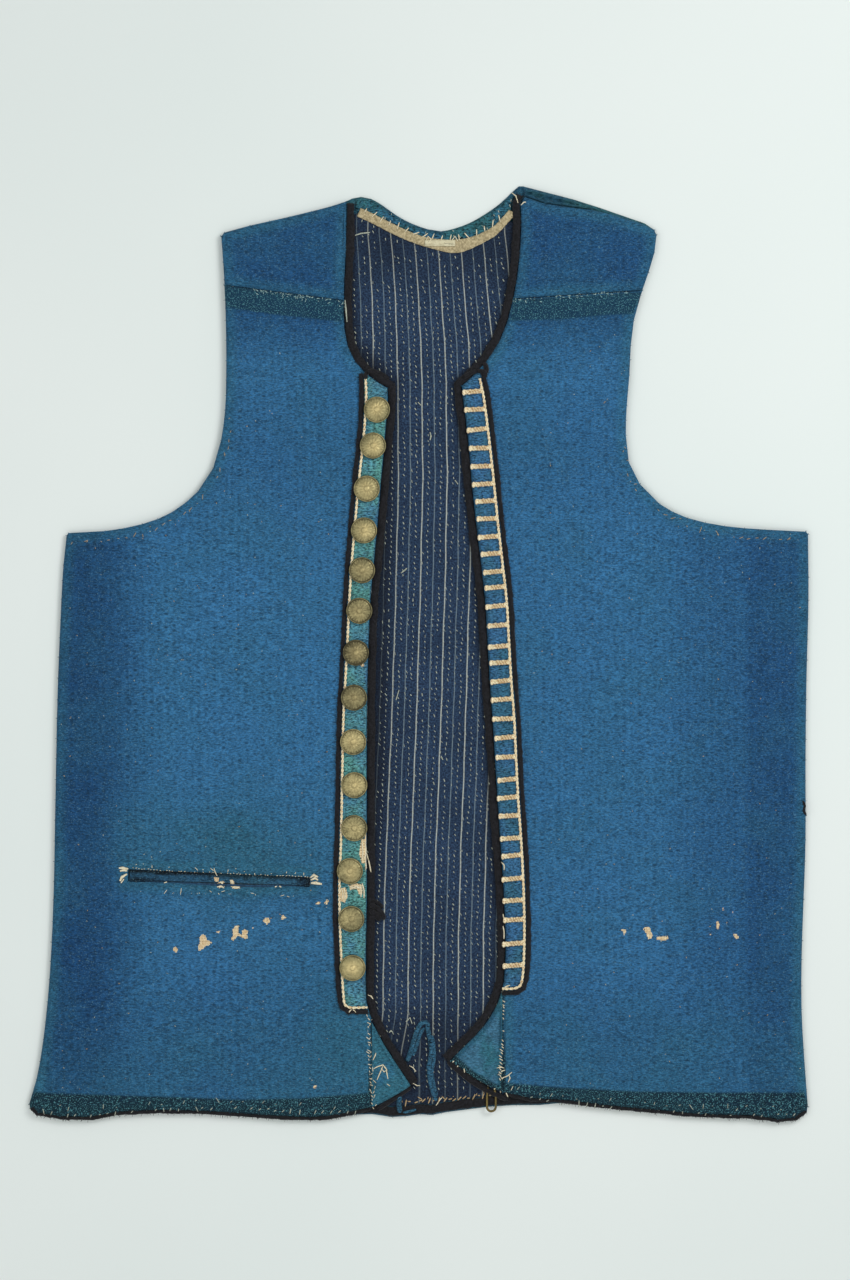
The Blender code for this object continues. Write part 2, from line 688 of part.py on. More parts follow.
def make_strip(name, finish, path, width, floor, height, edge=TRIM_EDGE):
    """Build a flat band along a path."""
    return make_wall(name, finish, strip(path, width), floor, height, edge)


def back_hem(right, left):
    """Return the back's hem from the -X side to the +X side."""
    low, high = HEM_BACK[0][0], HEM_BACK[-1][0]
    return joined(
        right.hem[right.hem[:, 0] < low], curve(HEM_BACK), left.hem[left.hem[:, 0] > high][::-1],
    )


def build_back_panel(right, left, hem, neck):
    """Build the back cloth with the edge that rolls up over the left shoulder."""
    shoulder = curve(SHOULDER_BACK_LEFT)
    outline = joined(
        hem, left.side[::-1], left.armhole[::-1], shoulder[::-1], neck[::-1],
        right.shoulder, right.armhole, right.side,
    )
    back = make_wall("back_panel", BLUE_CLOTH, outline, level(0.0), BACK_WALL)
    upper = shoulder[shoulder[:, 0] < ROLL_END] - (0.0, ROLL_SETBACK)
    lower = left.inward(left.shoulder, -SEAM_GAP)
    lower = lower[lower[:, 0] < ROLL_END - ROLL_TAPER]
    roll = make_wall(
        "shoulder_roll", BLUE_CLOTH, joined(upper, lower[::-1]), level(BACK_WALL / 2),
        ROLL_HEIGHT, ROLL_EDGE,
    )
    union = back.modifiers.new("roll", "BOOLEAN")
    union.operation = "UNION"
    union.object = roll
    roll.hide_render = True
    roll.display_type = "WIRE"


def build_lining(right, left, hem, tape):
    """Build the lining, set back from the sewn edges and raised in ridges where it shows."""
    foot = beside(hem, HEM_SETBACK + BACK_HEM_BINDING + SEAM_GAP)
    for one in (right, left):
        foot = foot[away(foot, one.side) > LINING_SETBACK]
    neck_line = tape - (0.0, SEAM_GAP)
    rows = {}
    for one in (right, left):
        side = one.inward(one.side, LINING_SETBACK)
        side = side[away(side, one.armhole) > LINING_SETBACK]
        side = side[away(side, hem) > LINING_SETBACK]
        hole = one.inward(one.armhole, ARMHOLE_SETBACK)
        hole = hole[away(hole, one.side) > LINING_SETBACK + CLEARANCE]
        hole = hole[away(hole, one.shoulder) > LINING_SETBACK + CLEARANCE]
        top = one.inward(one.shoulder, LINING_SETBACK)
        top = top[away(top, one.armhole) > LINING_SETBACK]
        top = top[away(top, tape) > LINING_SETBACK]
        rows[one.name] = joined(top, hole, side)
    outline = joined(foot, rows["left"][::-1], neck_line[::-1], rows["right"])
    shown = joined(right.edge, left.edge[::-1])
    make_wall(
        "back_lining", NAVY_LINING, outline, level(LINING_LEVEL), LINING_WALL, TRIM_EDGE,
        relief=quilting(LINING_RIDGE, show_lining(shown)), zone=shown,
    )


def build_neck(right, left, neck, tape):
    """Build the turned facing, the tape over its raw edge and the bare label."""
    start = right.edge[0, 0] + 2 * SEAM_GAP
    end = left.edge[0, 0] - 2 * SEAM_GAP
    rim = beside(neck, -HEM_SETBACK)
    rim = rim[(rim[:, 0] > start + CLEARANCE) & (rim[:, 0] < end - CLEARANCE)]
    left_edge = part_of(left.edge, left.edge[0, 1] - CLEARANCE, tape[-1, 1] + CLEARANCE)
    right_edge = np.array([(start, tape[0, 1] + CLEARANCE), (start, rim[0, 1] - 1.0)])
    outline = joined(right_edge, rim, left_edge - (2 * SEAM_GAP, 0.0), tape[::-1])
    make_wall("neck_facing", TEAL_CLOTH, outline, level(LINING_LEVEL), LINING_WALL, TRIM_EDGE)
    make_strip("neck_tape", CREAM_TAPE, tape, TAPE_WIDTH, level(FRONT_LEVEL), TAPE_WALL)
    label = rectangle(LABEL_SIZE, LABEL_PLACE)
    label_level = FRONT_LEVEL + TAPE_WALL + SEAM_GAP
    make_wall("neck_label", CREAM_TAPE, label, level(label_level), TAPE_WALL, TRIM_EDGE)


def build_hem_pieces(hem):
    """Build the back's hem binding, the turned edges of its vent and the hook."""
    middle = beside(hem, HEM_SETBACK + BACK_HEM_BINDING / 2)
    ends = LINING_SETBACK + BACK_HEM_BINDING
    reach = (middle[:, 0] > hem[0, 0] + ends) & (middle[:, 0] < hem[-1, 0] - ends)
    make_strip(
        "hem_binding_back", BLACK_BINDING, middle[reach], BACK_HEM_BINDING,
        level(LINING_LEVEL), LINING_WALL,
    )
    for name, route in (("vent_edge_right", VENT_RIGHT), ("vent_edge_left", VENT_LEFT)):
        make_strip(name, BLUE_CLOTH, curve(route), VENT_EDGE_WIDTH, level(FRONT_LEVEL), TAPE_WALL)
    make_hook("hem_hook")


def build_shoulder(one):
    """Build the shoulder piece above its lapped seam."""
    (_, outer), (_, inner) = one.seam + (0.0, SEAM_GAP / 2)
    hole = part_of(one.armhole, one.armhole[0, 1], outer)
    neck = part_of(one.cloth, one.cloth[0, 1], inner)
    outline = joined(one.shoulder, hole, neck[::-1])
    make_wall(
        f"shoulder_{one.name}", BLUE_CLOTH, outline, one.floor, FRONT_WALL,
        relief=quilting(QUILT_HEIGHT, show_quilting(one, outline)),
        guards=[one.roll_line(one.shoulder)],
    )


def build_front(one, holes=()):
    """Build one front below its shoulder seam, with the binding under its hem."""
    (_, outer), (_, inner) = one.seam - (0.0, SEAM_GAP / 2)
    hole = part_of(one.armhole, outer, one.armhole[-1, 1])
    lip = one.inward(one.hem, HEM_LIP + SEAM_GAP)
    edge_x = one.gusset_seam + one.turn * SEAM_GAP / 2
    corner = np.array([(edge_x, lip[-1, 1]), (edge_x, one.gusset_top - CLEARANCE)])
    lip = lip[one.turn * (lip[:, 0] - edge_x) > CLEARANCE]
    inner_edge = part_of(one.cloth, inner, one.gusset_top + CLEARANCE)
    outline = joined(hole, one.side, lip, corner, inner_edge[::-1])
    make_wall(
        f"front_{one.name}", BLUE_CLOTH, outline, one.floor, FRONT_WALL, holes=holes,
        relief=quilting(QUILT_HEIGHT, show_quilting(one, outline, *holes)),
        guards=[one.roll_line(one.side)], lap=one.seam,
    )
    lip_line = one.inward(one.hem, HEM_LIP / 2)
    make_strip(
        f"hem_binding_{one.name}", BLACK_BINDING, lip_line, HEM_LIP, one.floor, HEM_LIP_HEIGHT,
    )


def build_gusset(one):
    """Build the pointed gusset that carries the front's cut-away corner."""
    edge_x = one.gusset_seam - one.turn * SEAM_GAP / 2
    slope = one.cloth[one.cloth[:, 1] < one.gusset_top - 2 * CLEARANCE]
    slope = slope[one.turn * (edge_x - slope[:, 0]) > 0.5]
    low = one.gusset_low
    seam = np.array([(edge_x, low[-1, 1]), (edge_x, one.gusset_top)])
    outline = joined(slope, low[:-1], seam)
    make_wall(f"gusset_{one.name}", TEAL_CLOTH, outline, one.floor, FRONT_WALL)


def build_edge_trim(one):
    """Build the binding of the inner edge and the braid that frames the placket."""
    make_strip(
        f"edge_binding_{one.name}", BLACK_BINDING, one.from_edge(BINDING_WIDTH / 2),
        BINDING_WIDTH, one.floor, BINDING_HEIGHT, BINDING_EDGE,
    )
    make_strip(
        f"placket_braid_{one.name}", BLACK_BINDING, one.braid, BRAID_WIDTH,
        level(STRIP_LEVEL), BRAID_HEIGHT,
    )
    band = one.placket_band(BRAID_WIDTH / 2 + SEAM_GAP, BINDING_WIDTH + 2 * SEAM_GAP)
    finish = TEAL_CLOTH if one.name == "right" else BLUE_CLOTH
    make_wall(f"placket_{one.name}", finish, band, level(STRIP_LEVEL), STRIP_WALL, TRIM_EDGE)


def cord_line(one):
    """Return the centre line of the cord that lies inside the braid."""
    line = one.inward(one.braid, BRAID_WIDTH / 2 + SEAM_GAP + CORD_WIDTH / 2)
    return line[line[:, 1] < one.placket[0]]


def across(path, height):
    """Return the x of a falling path at one height."""
    order = np.argsort(path[:, 1])
    return float(np.interp(height, path[order, 1], path[order, 0]))


def build_buttonhole_bars(one):
    """Build the cord and its worked bars as one comb."""
    line = cord_line(one)
    outer = beside(line, CORD_WIDTH / 2)
    inner = beside(line, -CORD_WIDTH / 2)
    tips = one.from_edge(BINDING_WIDTH + 3 * SEAM_GAP)
    last = BAR_PLACES[-1] - BAR_WIDTH
    upright = inner[inner[:, 1] > last - EDGE_STEP]
    teeth = [inner[0]]
    for place in BAR_PLACES:
        high, low = place + BAR_WIDTH / 2, place - BAR_WIDTH / 2
        teeth += [
            (across(upright, high), high), (across(tips, high), high - BAR_SLANT),
            (across(tips, low), low - BAR_SLANT), (across(upright, low), low),
        ]
    foot = inner[inner[:, 1] < last]
    outline = np.vstack([teeth, foot, outer[::-1]])
    make_wall("buttonhole_bars", CREAM_CORD, outline, level(CORD_LEVEL), CORD_HEIGHT, TRIM_EDGE)


def pocket_loop(shrink):
    """Return the pocket's slit as a loop, made smaller by a margin."""
    start, stop = np.array(POCKET_ENDS)
    along = (stop - start) / np.linalg.norm(stop - start)
    across_slit = np.array([-along[1], along[0]])
    first, last = start + along * shrink, stop - along * shrink
    loop = []
    for side in (-1, 1):
        for share in np.linspace(0.0, 1.0, POCKET_POINTS)[::-side]:
            half = POCKET_HALF_WIDTHS[0] * (1 - share) + POCKET_HALF_WIDTHS[1] * share
            loop.append(first + (last - first) * share + side * (half - shrink) * across_slit)
    return np.array(loop)


def build_pocket():
    """Build the welt seen in the pocket's slit and the bar tacks at its ends."""
    welt = pocket_loop(SEAM_GAP)
    make_wall("pocket_welt", DARK_WELT, welt, level(FRONT_LEVEL), WELT_HEIGHT, TRIM_EDGE)
    tack_level = level(FRONT_TOP + QUILT_HEIGHT + SEAM_GAP)
    names = ("pocket_tack_side", "pocket_tack_front")
    for name, size, place in zip(names, TACK_SIZES, TACK_PLACES):
        make_wall(name, CREAM_CORD, rectangle(size, place), tack_level, TACK_HEIGHT, TRIM_EDGE)


def rest_on_origin():
    """Move the finished meshes so that the vest rests on z = 0, centred on the origin."""
    bpy.context.view_layer.update()
    items = [item for item in bpy.data.objects if not item.hide_render]
    corners = [item.matrix_world @ Vector(corner) for item in items for corner in item.bound_box]
    low = Vector(min(corner[k] for corner in corners) for k in range(3))
    high = Vector(max(corner[k] for corner in corners) for k in range(3))
    shift = Vector((-(low.x + high.x) / 2, -(low.y + high.y) / 2, -low.z))
    for item in bpy.data.objects:
        item.location = item.location + shift


def main():
    """Build the whole vest."""
    for item in list(bpy.data.objects):
        bpy.data.objects.remove(item)
    right = Side("right", -1, RIGHT_TABLES)
    left = Side("left", 1, LEFT_TABLES)
    hem = back_hem(right, left)
    neck = curve(NECK_BACK, FINE_STEP)
    tape = curve(NECK_TAPE, FINE_STEP)
    build_back_panel(right, left, hem, neck)
    build_lining(right, left, hem, tape)
    build_neck(right, left, neck, tape)
    build_hem_pieces(hem)
    build_front(right, holes=[pocket_loop(0.0)])
    build_front(left)
    for one in (right, left):
        build_shoulder(one)
        build_gusset(one)
        build_edge_trim(one)
    make_strip(
        "placket_cord_right", CREAM_CORD, cord_line(right), CORD_WIDTH, level(CORD_LEVEL),
        CORD_HEIGHT,
    )
    build_buttonhole_bars(left)
    build_pocket()
    for k, place in enumerate(BUTTON_PLACES):
        make_button(f"button_{k + 1:02d}", place, float(k))
    rest_on_origin()


main()
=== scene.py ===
"""Folk vest of quilted wool, laid flat on its back with both fronts open.

The frame's solids give every outline and level. The cloths are laid again as fine shells
on those solids, quilted, worn and sewn, and the buttons, cords and threads are worked on
top of them. Sizes are in millimetres until a mesh is made, and a place that is read off
the picture is given in the picture's own steps.
"""

import logging
import math
import random
from dataclasses import dataclass, field
from enum import Enum
from itertools import product
from typing import Iterable, Sequence

import bmesh
import bpy
import numpy as np
from mathutils import Matrix, Vector, kdtree, noise
from mathutils.bvhtree import BVHTree


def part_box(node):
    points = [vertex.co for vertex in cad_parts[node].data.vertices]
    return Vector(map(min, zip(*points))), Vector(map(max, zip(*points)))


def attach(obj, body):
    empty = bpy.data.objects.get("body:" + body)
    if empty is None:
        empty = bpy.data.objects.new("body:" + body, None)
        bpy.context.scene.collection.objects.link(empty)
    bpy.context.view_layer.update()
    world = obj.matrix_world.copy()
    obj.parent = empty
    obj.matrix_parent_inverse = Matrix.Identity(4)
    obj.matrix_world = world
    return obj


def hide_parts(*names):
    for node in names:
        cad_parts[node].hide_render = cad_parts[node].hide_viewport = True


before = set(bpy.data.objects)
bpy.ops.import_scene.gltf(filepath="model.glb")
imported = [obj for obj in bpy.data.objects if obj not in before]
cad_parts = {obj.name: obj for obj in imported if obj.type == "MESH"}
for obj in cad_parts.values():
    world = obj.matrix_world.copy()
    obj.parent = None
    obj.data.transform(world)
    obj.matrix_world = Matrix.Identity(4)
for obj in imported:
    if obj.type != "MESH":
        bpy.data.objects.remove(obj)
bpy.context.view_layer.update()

MM = 0.001
BODY = "root"
UP = Vector((0.0, 0.0, 1.0))

# The picture: mm to a step, the step that lies over the origin, how far the rest pose
# moves the vest in mm, and the frame's middle and height in steps
STEP_MM = 0.65
PICTURE_ORIGIN = (418.5, 654.0)
REST_SHIFT = (-0.2, 0.15)
PICTURE_MIDDLE = (425.0, 640.0)
PICTURE_HEIGHT = 1280.0

# Levels and walls of the layers in mm, as the solids have them
LINING_TOP = 3.3
CORD_LEVEL = 7.4
QUILTED_WALL = 2.2
PLAIN_WALL = 1.0
QUILT_PITCH = 5.2
ABOVE_ALL = 30.0

# How the neck's trims depart from their solids, in mm: past its end the tape is drawn out
# by so much a mm, it sags beside the label, and the label's foot is lifted
TAPE_END = 50.0
TAPE_STRETCH = Vector((0.37, 0.76, 0.0))
TAPE_SAG = 2.8
LABEL_FOOT = 266.4
LABEL_LIFT = 1.2

# How far from its middle a moth patch can reach, in mm
PATCH_REACH = 16.0

Spot = tuple[float, float]
Route = Sequence[Spot]

log = logging.getLogger("vest")


def spot(px: float, py: float) -> Spot:
    """Return the place in mm of a spot given in the picture's steps."""
    return (
        (px - PICTURE_ORIGIN[0]) * STEP_MM + REST_SHIFT[0],
        (PICTURE_ORIGIN[1] - py) * STEP_MM + REST_SHIFT[1],
    )


def spots(*pairs: Spot) -> list[Spot]:
    """Return the places in mm of several spots of the picture."""
    return [spot(*pair) for pair in pairs]


def steps(x: np.ndarray, y: np.ndarray) -> tuple[np.ndarray, np.ndarray]:
    """Return the picture's steps of places in mm."""
    return (
        (x - REST_SHIFT[0]) / STEP_MM + PICTURE_ORIGIN[0],
        PICTURE_ORIGIN[1] - (y - REST_SHIFT[1]) / STEP_MM,
    )


def grain(size: float) -> float:
    """Return the scale of a noise whose grain has a size in mm."""
    return 1.0 / (size * MM)


def rgb(code: str) -> tuple[float, float, float, float]:
    """Return the linear colour of an sRGB hex code."""
    shown = [int(code[k:k + 2], 16) / 255.0 for k in (1, 3, 5)]
    red, green, blue = (
        c / 12.92 if c <= 0.04045 else ((c + 0.055) / 1.055) ** 2.4 for c in shown
    )
    return (red, green, blue, 1.0)


def smooth(share: np.ndarray) -> np.ndarray:
    """Ease a share from 0 to 1."""
    share = np.clip(share, 0.0, 1.0)
    return share * share * (3.0 - 2.0 * share)


def swell(place: float, ring: Spot, power: int = 2) -> float:
    """Return 1 at a ring's radius, easing to 0 past its half width."""
    return math.exp(-((place - ring[0]) / ring[1]) ** power)


def distance(x: np.ndarray, y: np.ndarray, route: Route) -> np.ndarray:
    """Return how far each point lies from an open route.

    Args:
        x: Places across, in mm.
        y: Places up, in mm.
        route: Corners of the route, in mm.

    Returns:
        The distance of each point, in mm.
    """
    nearest = np.full(x.shape, 1e6)
    for (ax, ay), (bx, by) in zip(route, route[1:]):
        dx, dy = bx - ax, by - ay
        share = np.clip(((x - ax) * dx + (y - ay) * dy) / (dx * dx + dy * dy), 0.0, 1.0)
        nearest = np.minimum(nearest, np.hypot(x - ax - share * dx, y - ay - share * dy))
    return nearest


def depth_inside(x: np.ndarray, y: np.ndarray, loop: Route) -> np.ndarray:
    """Return how deep each point lies inside a loop.

    Args:
        x: Places across, in mm.
        y: Places up, in mm.
        loop: Corners of the loop, in mm.

    Returns:
        The depth of each point in mm, negative outside the loop.
    """
    inside = np.zeros(x.shape, dtype=bool)
    for (ax, ay), (bx, by) in zip(loop, [*loop[1:], loop[0]]):
        if ay != by:
            crossed = (ay > y) != (by > y)
            inside ^= crossed & (x < ax + (y - ay) / (by - ay) * (bx - ax))
    near = distance(x, y, [*loop, loop[0]])
    return np.where(inside, near, -near)


def rounded(knots: Route, step: float) -> list[Spot]:
    """Return points of a smooth curve through knots.

    Args:
        knots: Places that the curve passes through, in mm.
        step: Distance between points, in mm.

    Returns:
        The points, from the first knot to the last.
    """
    rows = [np.array(knot, dtype=float) for knot in knots]
    rows = [2 * rows[0] - rows[1], *rows, 2 * rows[-1] - rows[-2]]
    points = [tuple(rows[1])]
    for before, start, stop, after in zip(rows, rows[1:], rows[2:], rows[3:]):
        count = max(1, round(float(np.linalg.norm(stop - start)) / step))
        for k in range(1, count + 1):
            t = k / count
            point = 0.5 * (
                2 * start + (stop - before) * t
                + (2 * before - 5 * start + 4 * stop - after) * t ** 2
                + (3 * start - before - 3 * stop + after) * t ** 3
            )
            points.append((float(point[0]), float(point[1])))
    return points


def walk(route: Route, pitch: float) -> list[tuple[float, float, float]]:
    """Return evenly spaced places along a route with the heading at each.

    Args:
        route: Corners of the route, in mm.
        pitch: Distance between places, in mm.

    Returns:
        Rows of x, y and heading in radians.
    """
    rows = []
    ahead = pitch / 2
    for (ax, ay), (bx, by) in zip(route, route[1:]):
        length = math.hypot(bx - ax, by - ay)
        heading = math.atan2(by - ay, bx - ax)
        while ahead < length:
            share = ahead / length
            rows.append((ax + share * (bx - ax), ay + share * (by - ay), heading))
            ahead += pitch
        ahead -= length
    return rows


def beside(route: Route, offset: float) -> list[Spot]:
    """Return a route moved to its left.

    Args:
        route: Corners of the route, in mm.
        offset: How far it moves, in mm, negative to its right.

    Returns:
        The corners of the moved route.
    """
    moved = []
    for k, (x, y) in enumerate(route):
        (ax, ay), (bx, by) = route[max(k - 1, 0)], route[min(k + 1, len(route) - 1)]
        length = math.hypot(bx - ax, by - ay)
        moved.append((x - (by - ay) / length * offset, y + (bx - ax) / length * offset))
    return moved


def placed(name: str, data: bpy.types.ID) -> bpy.types.Object:
    """Put a mesh, curve, lamp or camera into the scene as an object."""
    item = bpy.data.objects.new(name, data)
    bpy.context.scene.collection.objects.link(item)
    return item


class Recipe:
    """The shader tree of one finish."""

    def __init__(self, name: str, roughness: float, metallic: float = 0.0) -> None:
        """Start a material with a Principled shader.

        Args:
            name: The finish's name.
            roughness: The shader's roughness.
            metallic: The shader's metallic value.
        """
        self.material = bpy.data.materials.new(name)
        self.material.use_nodes = True
        self.tree = self.material.node_tree
        self.shader = self.tree.nodes["Principled BSDF"]
        self.set(Roughness=roughness, Metallic=metallic)

    def add(
        self, kind: str, wires: dict | None = None, out: int | str = 0, **settings: object
    ) -> bpy.types.NodeSocket:
        """Add one node.

        Args:
            kind: The node's type without its prefix.
            wires: A value or a socket for each input, by name or number.
            out: The output that is wanted.
            **settings: Properties of the node.

        Returns:
            The output socket.
        """
        node = self.tree.nodes.new("ShaderNode" + kind)
        for name, value in settings.items():
            setattr(node, name, value)
        for key, value in (wires or {}).items():
            self.wire(node.inputs[key], value)
        return node.outputs[out]

    def wire(self, socket: bpy.types.NodeSocket, value: object) -> None:
        """Give an input a link or a value."""
        if isinstance(value, bpy.types.NodeSocket):
            self.tree.links.new(value, socket)
        else:
            socket.default_value = value

    def set(self, **values: object) -> None:
        """Set inputs of the shader, with an underscore for each blank."""
        for name, value in values.items():
            self.wire(self.shader.inputs[name.replace("_", " ")], value)


@dataclass(frozen=True)
class Wool:
    """Fulled woollen cloth, woven, milled and dyed in the piece.

    The matted nap gives a dull, soft face with heathered yarns, and painted shade darkens it
    where its shade mark says. Sunk stitches show as dashes of painted shade in their dimples,
    the selvedge as a dark speckled band, and eaten nap as bare pale weave with painted shade
    between its threads.
    The sizes of its grains are in mm.
    """

    name: str
    field: str
    # side is the colour of the painted shade that the shade mark mixes in
    side: str
    green: str
    # sunk is the colour of the painted shade in the dimples of the sunk stitches
    sunk: str = "#19374F"
    band: str = "#08151B"
    band_high: str = "#102E42"
    tuft: str = "#50868D"
    pale: str = "#6C98A8"
    bare: str = "#E6D3AA"
    # between is the colour of the painted shade between the bared threads
    between: str = "#A98A66"
    rust: str = "#B58660"
    sheen: str = "#9FC4D8"
    thread: float = 1.0
    clump: float = 6.6667
    cloud: float = 45.455
    weave: float = 1.6982
    contrast: float = 0.5
    slot: str = "outer_cloth"

    def make(self) -> bpy.types.Material:
        """Mix the finish.

        Returns:
            The material.
        """
        r = Recipe(self.name, 0.92)
        r.set(Sheen_Weight=0.14, Sheen_Roughness=0.5, Sheen_Tint=rgb(self.sheen))
        r.set(Specular_IOR_Level=0.15)
        place = r.add("TexCoord", out="Object")
        marks = {
            key: r.add("Attribute", out="Fac", attribute_name=key)
            for key in ("shade", "green", "row", "along", "stitch", "band", "high", "moth")
        }

        # Yarns of 0.6 mm, drawn at 1.0 mm because a step of the picture is 0.65 mm. The
        # milling clumps them by 7 mm or so, and the dye has faded in clouds of 45 mm
        weft = r.add("Mapping", {"Vector": place, "Scale": (0.5, 1.15, 1.0)})
        nap = r.add("TexNoise", {"Vector": weft, "Scale": grain(self.thread), "Detail": 2.0,
                                 "Roughness": 0.7})
        fleck = r.add("TexNoise", {"Vector": place, "Scale": 1.3 * grain(self.thread),
                                   "Detail": 1.0})
        patch = r.add("TexNoise", {"Vector": place, "Scale": grain(self.clump), "Detail": 4.0})
        cloud = r.add("TexNoise", {"Vector": place, "Scale": grain(self.cloud), "Detail": 3.0})
        drift = r.add("MapRange", {0: cloud, 1: 0.42, 2: 0.66, 3: 0.0, 4: 0.3})
        faded = r.add("Math", {0: marks["green"], 1: drift}, operation="ADD", use_clamp=True)
        heather = r.add("MapRange", {
            0: nap, 1: 0.34, 2: 0.66, 3: 1.0 - self.contrast, 4: 1.0 + self.contrast,
        })
        uneven = r.add("MapRange", {0: patch, 1: 0.35, 2: 0.65, 3: 0.88, 4: 1.12})
        heather = r.add("Math", {0: heather, 1: uneven}, operation="MULTIPLY")
        tipped = r.add("MapRange", {0: fleck, 1: 0.6, 2: 0.74, 3: 0.0, 4: 0.42})

        # Painted shade in the dimple of each sunk stitch, a dark dash of 3 by 1.7 mm across its
        # row
        near = 0.0
        for key, half in (("row", 0.29), ("along", 0.2)):
            part = r.add("Math", {0: marks[key]}, operation="FRACT")
            part = r.add("Math", {0: part, 1: 0.5}, operation="SUBTRACT")
            part = r.add("Math", {0: part, 1: half}, operation="DIVIDE")
            near = r.add("Math", {0: part, 1: part, 2: near}, operation="MULTIPLY_ADD")
        dash = r.add("MapRange", {0: near, 1: 0.1, 2: 1.2, 3: 1.0, 4: 0.0})
        dimple_and_shade = r.add("Math", {0: dash, 1: marks["stitch"]}, operation="MULTIPLY")

        # Selvedge, whose edge wanders by a thread or two
        ragged = r.add("Math", {0: nap, 1: 0.8, 2: marks["band"]}, operation="MULTIPLY_ADD")
        in_band = r.add("MapRange", {0: ragged, 1: 0.8, 2: 1.15, 3: 0.0, 4: 0.85})
        loop = r.add("MapRange", {0: fleck, 1: 0.55, 2: 0.68})
        knots = r.add("Mix", {0: marks["high"], 6: rgb(self.band), 7: rgb(self.band_high)}, 2,
                      data_type="RGBA")
        knots = r.add("Mix", {0: loop, 6: knots, 7: rgb(self.tuft)}, 2, data_type="RGBA")

        # Bare weave where the nap is eaten, pale on its threads, with brown painted shade between
        # them.
        # Its threads of 0.8 mm are drawn at 1.7 mm, which the picture can just show
        warp, fill = (
            r.add("TexWave", {"Vector": place, "Scale": math.pi / 10 * grain(self.weave),
                              "Distortion": 2.5}, bands_direction=way)
            for way in "XY"
        )
        grid = r.add("Math", {0: warp, 1: fill}, operation="MAXIMUM")
        weave = r.add("Mix", {0: grid, 6: rgb(self.between), 7: rgb(self.bare)}, 2,
                      data_type="RGBA")
        eaten = r.add("Math", {0: nap, 1: 0.9, 2: marks["moth"]}, operation="MULTIPLY_ADD")
        eaten = r.add("MapRange", {0: eaten, 1: 0.98, 2: 1.2})
        thin = r.add("MapRange", {0: eaten, 1: 0.35, 2: 1.0, 3: 0.5, 4: 0.0})
        weave = r.add("Mix", {0: thin, 6: weave, 7: rgb(self.rust)}, 2, data_type="RGBA")
        eaten = r.add("MapRange", {0: eaten, 1: 0.0, 2: 0.55})

        # Painted shade, fades, heather, pale tips, painted shade of the stitch dimples, selvedge
        # and bare weave, laid on in turn
        tone = rgb(self.field)
        for share, colour, blend in (
            (marks["shade"], rgb(self.side), "MIX"), (faded, rgb(self.green), "MIX"),
            (1.0, heather, "MULTIPLY"), (tipped, rgb(self.pale), "MIX"),
            (dimple_and_shade, rgb(self.sunk), "MIX"), (in_band, knots, "MIX"), (eaten, weave, "MIX"),
        ):
            tone = r.add("Mix", {0: share, 6: tone, 7: colour}, 2, data_type="RGBA",
                         blend_type=blend)
        r.set(Base_Color=tone)
        rough = r.add("Math", {0: nap, 1: patch}, operation="ADD")
        rough = r.add("Math", {0: dimple_and_shade, 1: -1.2, 2: rough}, operation="MULTIPLY_ADD")
        r.set(Normal=r.add("Bump", {"Height": rough, "Strength": 0.6, "Distance": 0.4 * MM}))
        return r.material


@dataclass(frozen=True)
class Lining:
    """Navy cotton and wool lining, woven with pale warp stripes and quilted by hand.

    It is flatter and darker than the wool, mottled by its yarns, and its stripes are
    bright and faint in turn. Its sizes are in mm.
    """

    name: str
    field: str
    light: str
    bright: str
    faint: str
    shadow: str = "#0B0F18"
    sheen: str = "#8FA3C0"
    pitch: float = 8.0
    thread: float = 1.1111
    cloud: float = 33.333
    slot: str = "navy_lining"

    def make(self) -> bpy.types.Material:
        """Mix the finish.

        Returns:
            The material.
        """
        r = Recipe(self.name, 0.9)
        r.set(Sheen_Weight=0.06, Sheen_Roughness=0.5, Sheen_Tint=rgb(self.sheen))
        r.set(Specular_IOR_Level=0.2)
        place = r.add("TexCoord", out="Object")

        # Yarns of 0.4 mm, drawn at 1.1 mm, which the picture can just show
        yarn = r.add("TexNoise", {"Vector": place, "Scale": grain(self.thread), "Detail": 3.0,
                                  "Roughness": 0.7})
        cloud = r.add("TexNoise", {"Vector": place, "Scale": grain(self.cloud), "Detail": 3.0})
        stripe = r.add("Attribute", out="Fac", attribute_name="stripe")
        shade = r.add("Attribute", out="Fac", attribute_name="shade")
        mottle = r.add("MapRange", {0: yarn, 1: 0.42, 2: 0.62})
        tone = r.add("Mix", {0: mottle, 6: rgb(self.field), 7: rgb(self.light)}, 2,
                     data_type="RGBA")
        patchy = r.add("MapRange", {0: cloud, 1: 0.3, 2: 0.7, 3: 0.82, 4: 1.2})
        tone = r.add("Mix", {0: 1.0, 6: tone, 7: patchy}, 2,
                     data_type="RGBA", blend_type="MULTIPLY")

        # Stripes of 0.7 mm, bright and faint in turn, broken where their yarn sinks
        broken = r.add("MapRange", {0: yarn, 1: 0.3, 2: 0.52, 3: 0.2, 4: 1.0})
        loose = r.add("Math", {0: yarn, 1: 0.5, 2: -0.25}, operation="MULTIPLY_ADD")
        for shift, half, colour in ((0.0, 0.38, self.bright), (0.5, 0.31, self.faint)):
            turns = r.add("Math", {0: stripe, 1: 0.5, 2: shift}, operation="MULTIPLY_ADD")
            whole = r.add("Math", {0: turns}, operation="ROUND")
            off = r.add("Math", {0: turns, 1: whole}, operation="SUBTRACT")
            off = r.add("Math", {0: off}, operation="ABSOLUTE")
            gap = r.add("Math", {0: off, 1: 2.0 * self.pitch, 2: loose},
                        operation="MULTIPLY_ADD")
            line = r.add("MapRange", {0: gap, 1: half * 1.3, 2: half * 0.6})
            line = r.add("Math", {0: line, 1: broken}, operation="MULTIPLY")
            tone = r.add("Mix", {0: line, 6: tone, 7: rgb(colour)}, 2, data_type="RGBA")
        tone = r.add("Mix", {0: shade, 6: tone, 7: rgb(self.shadow)}, 2, data_type="RGBA")
        r.set(Base_Color=tone)
        r.set(Normal=r.add("Bump", {"Height": yarn, "Strength": 0.5, "Distance": 0.25 * MM}))
        return r.material


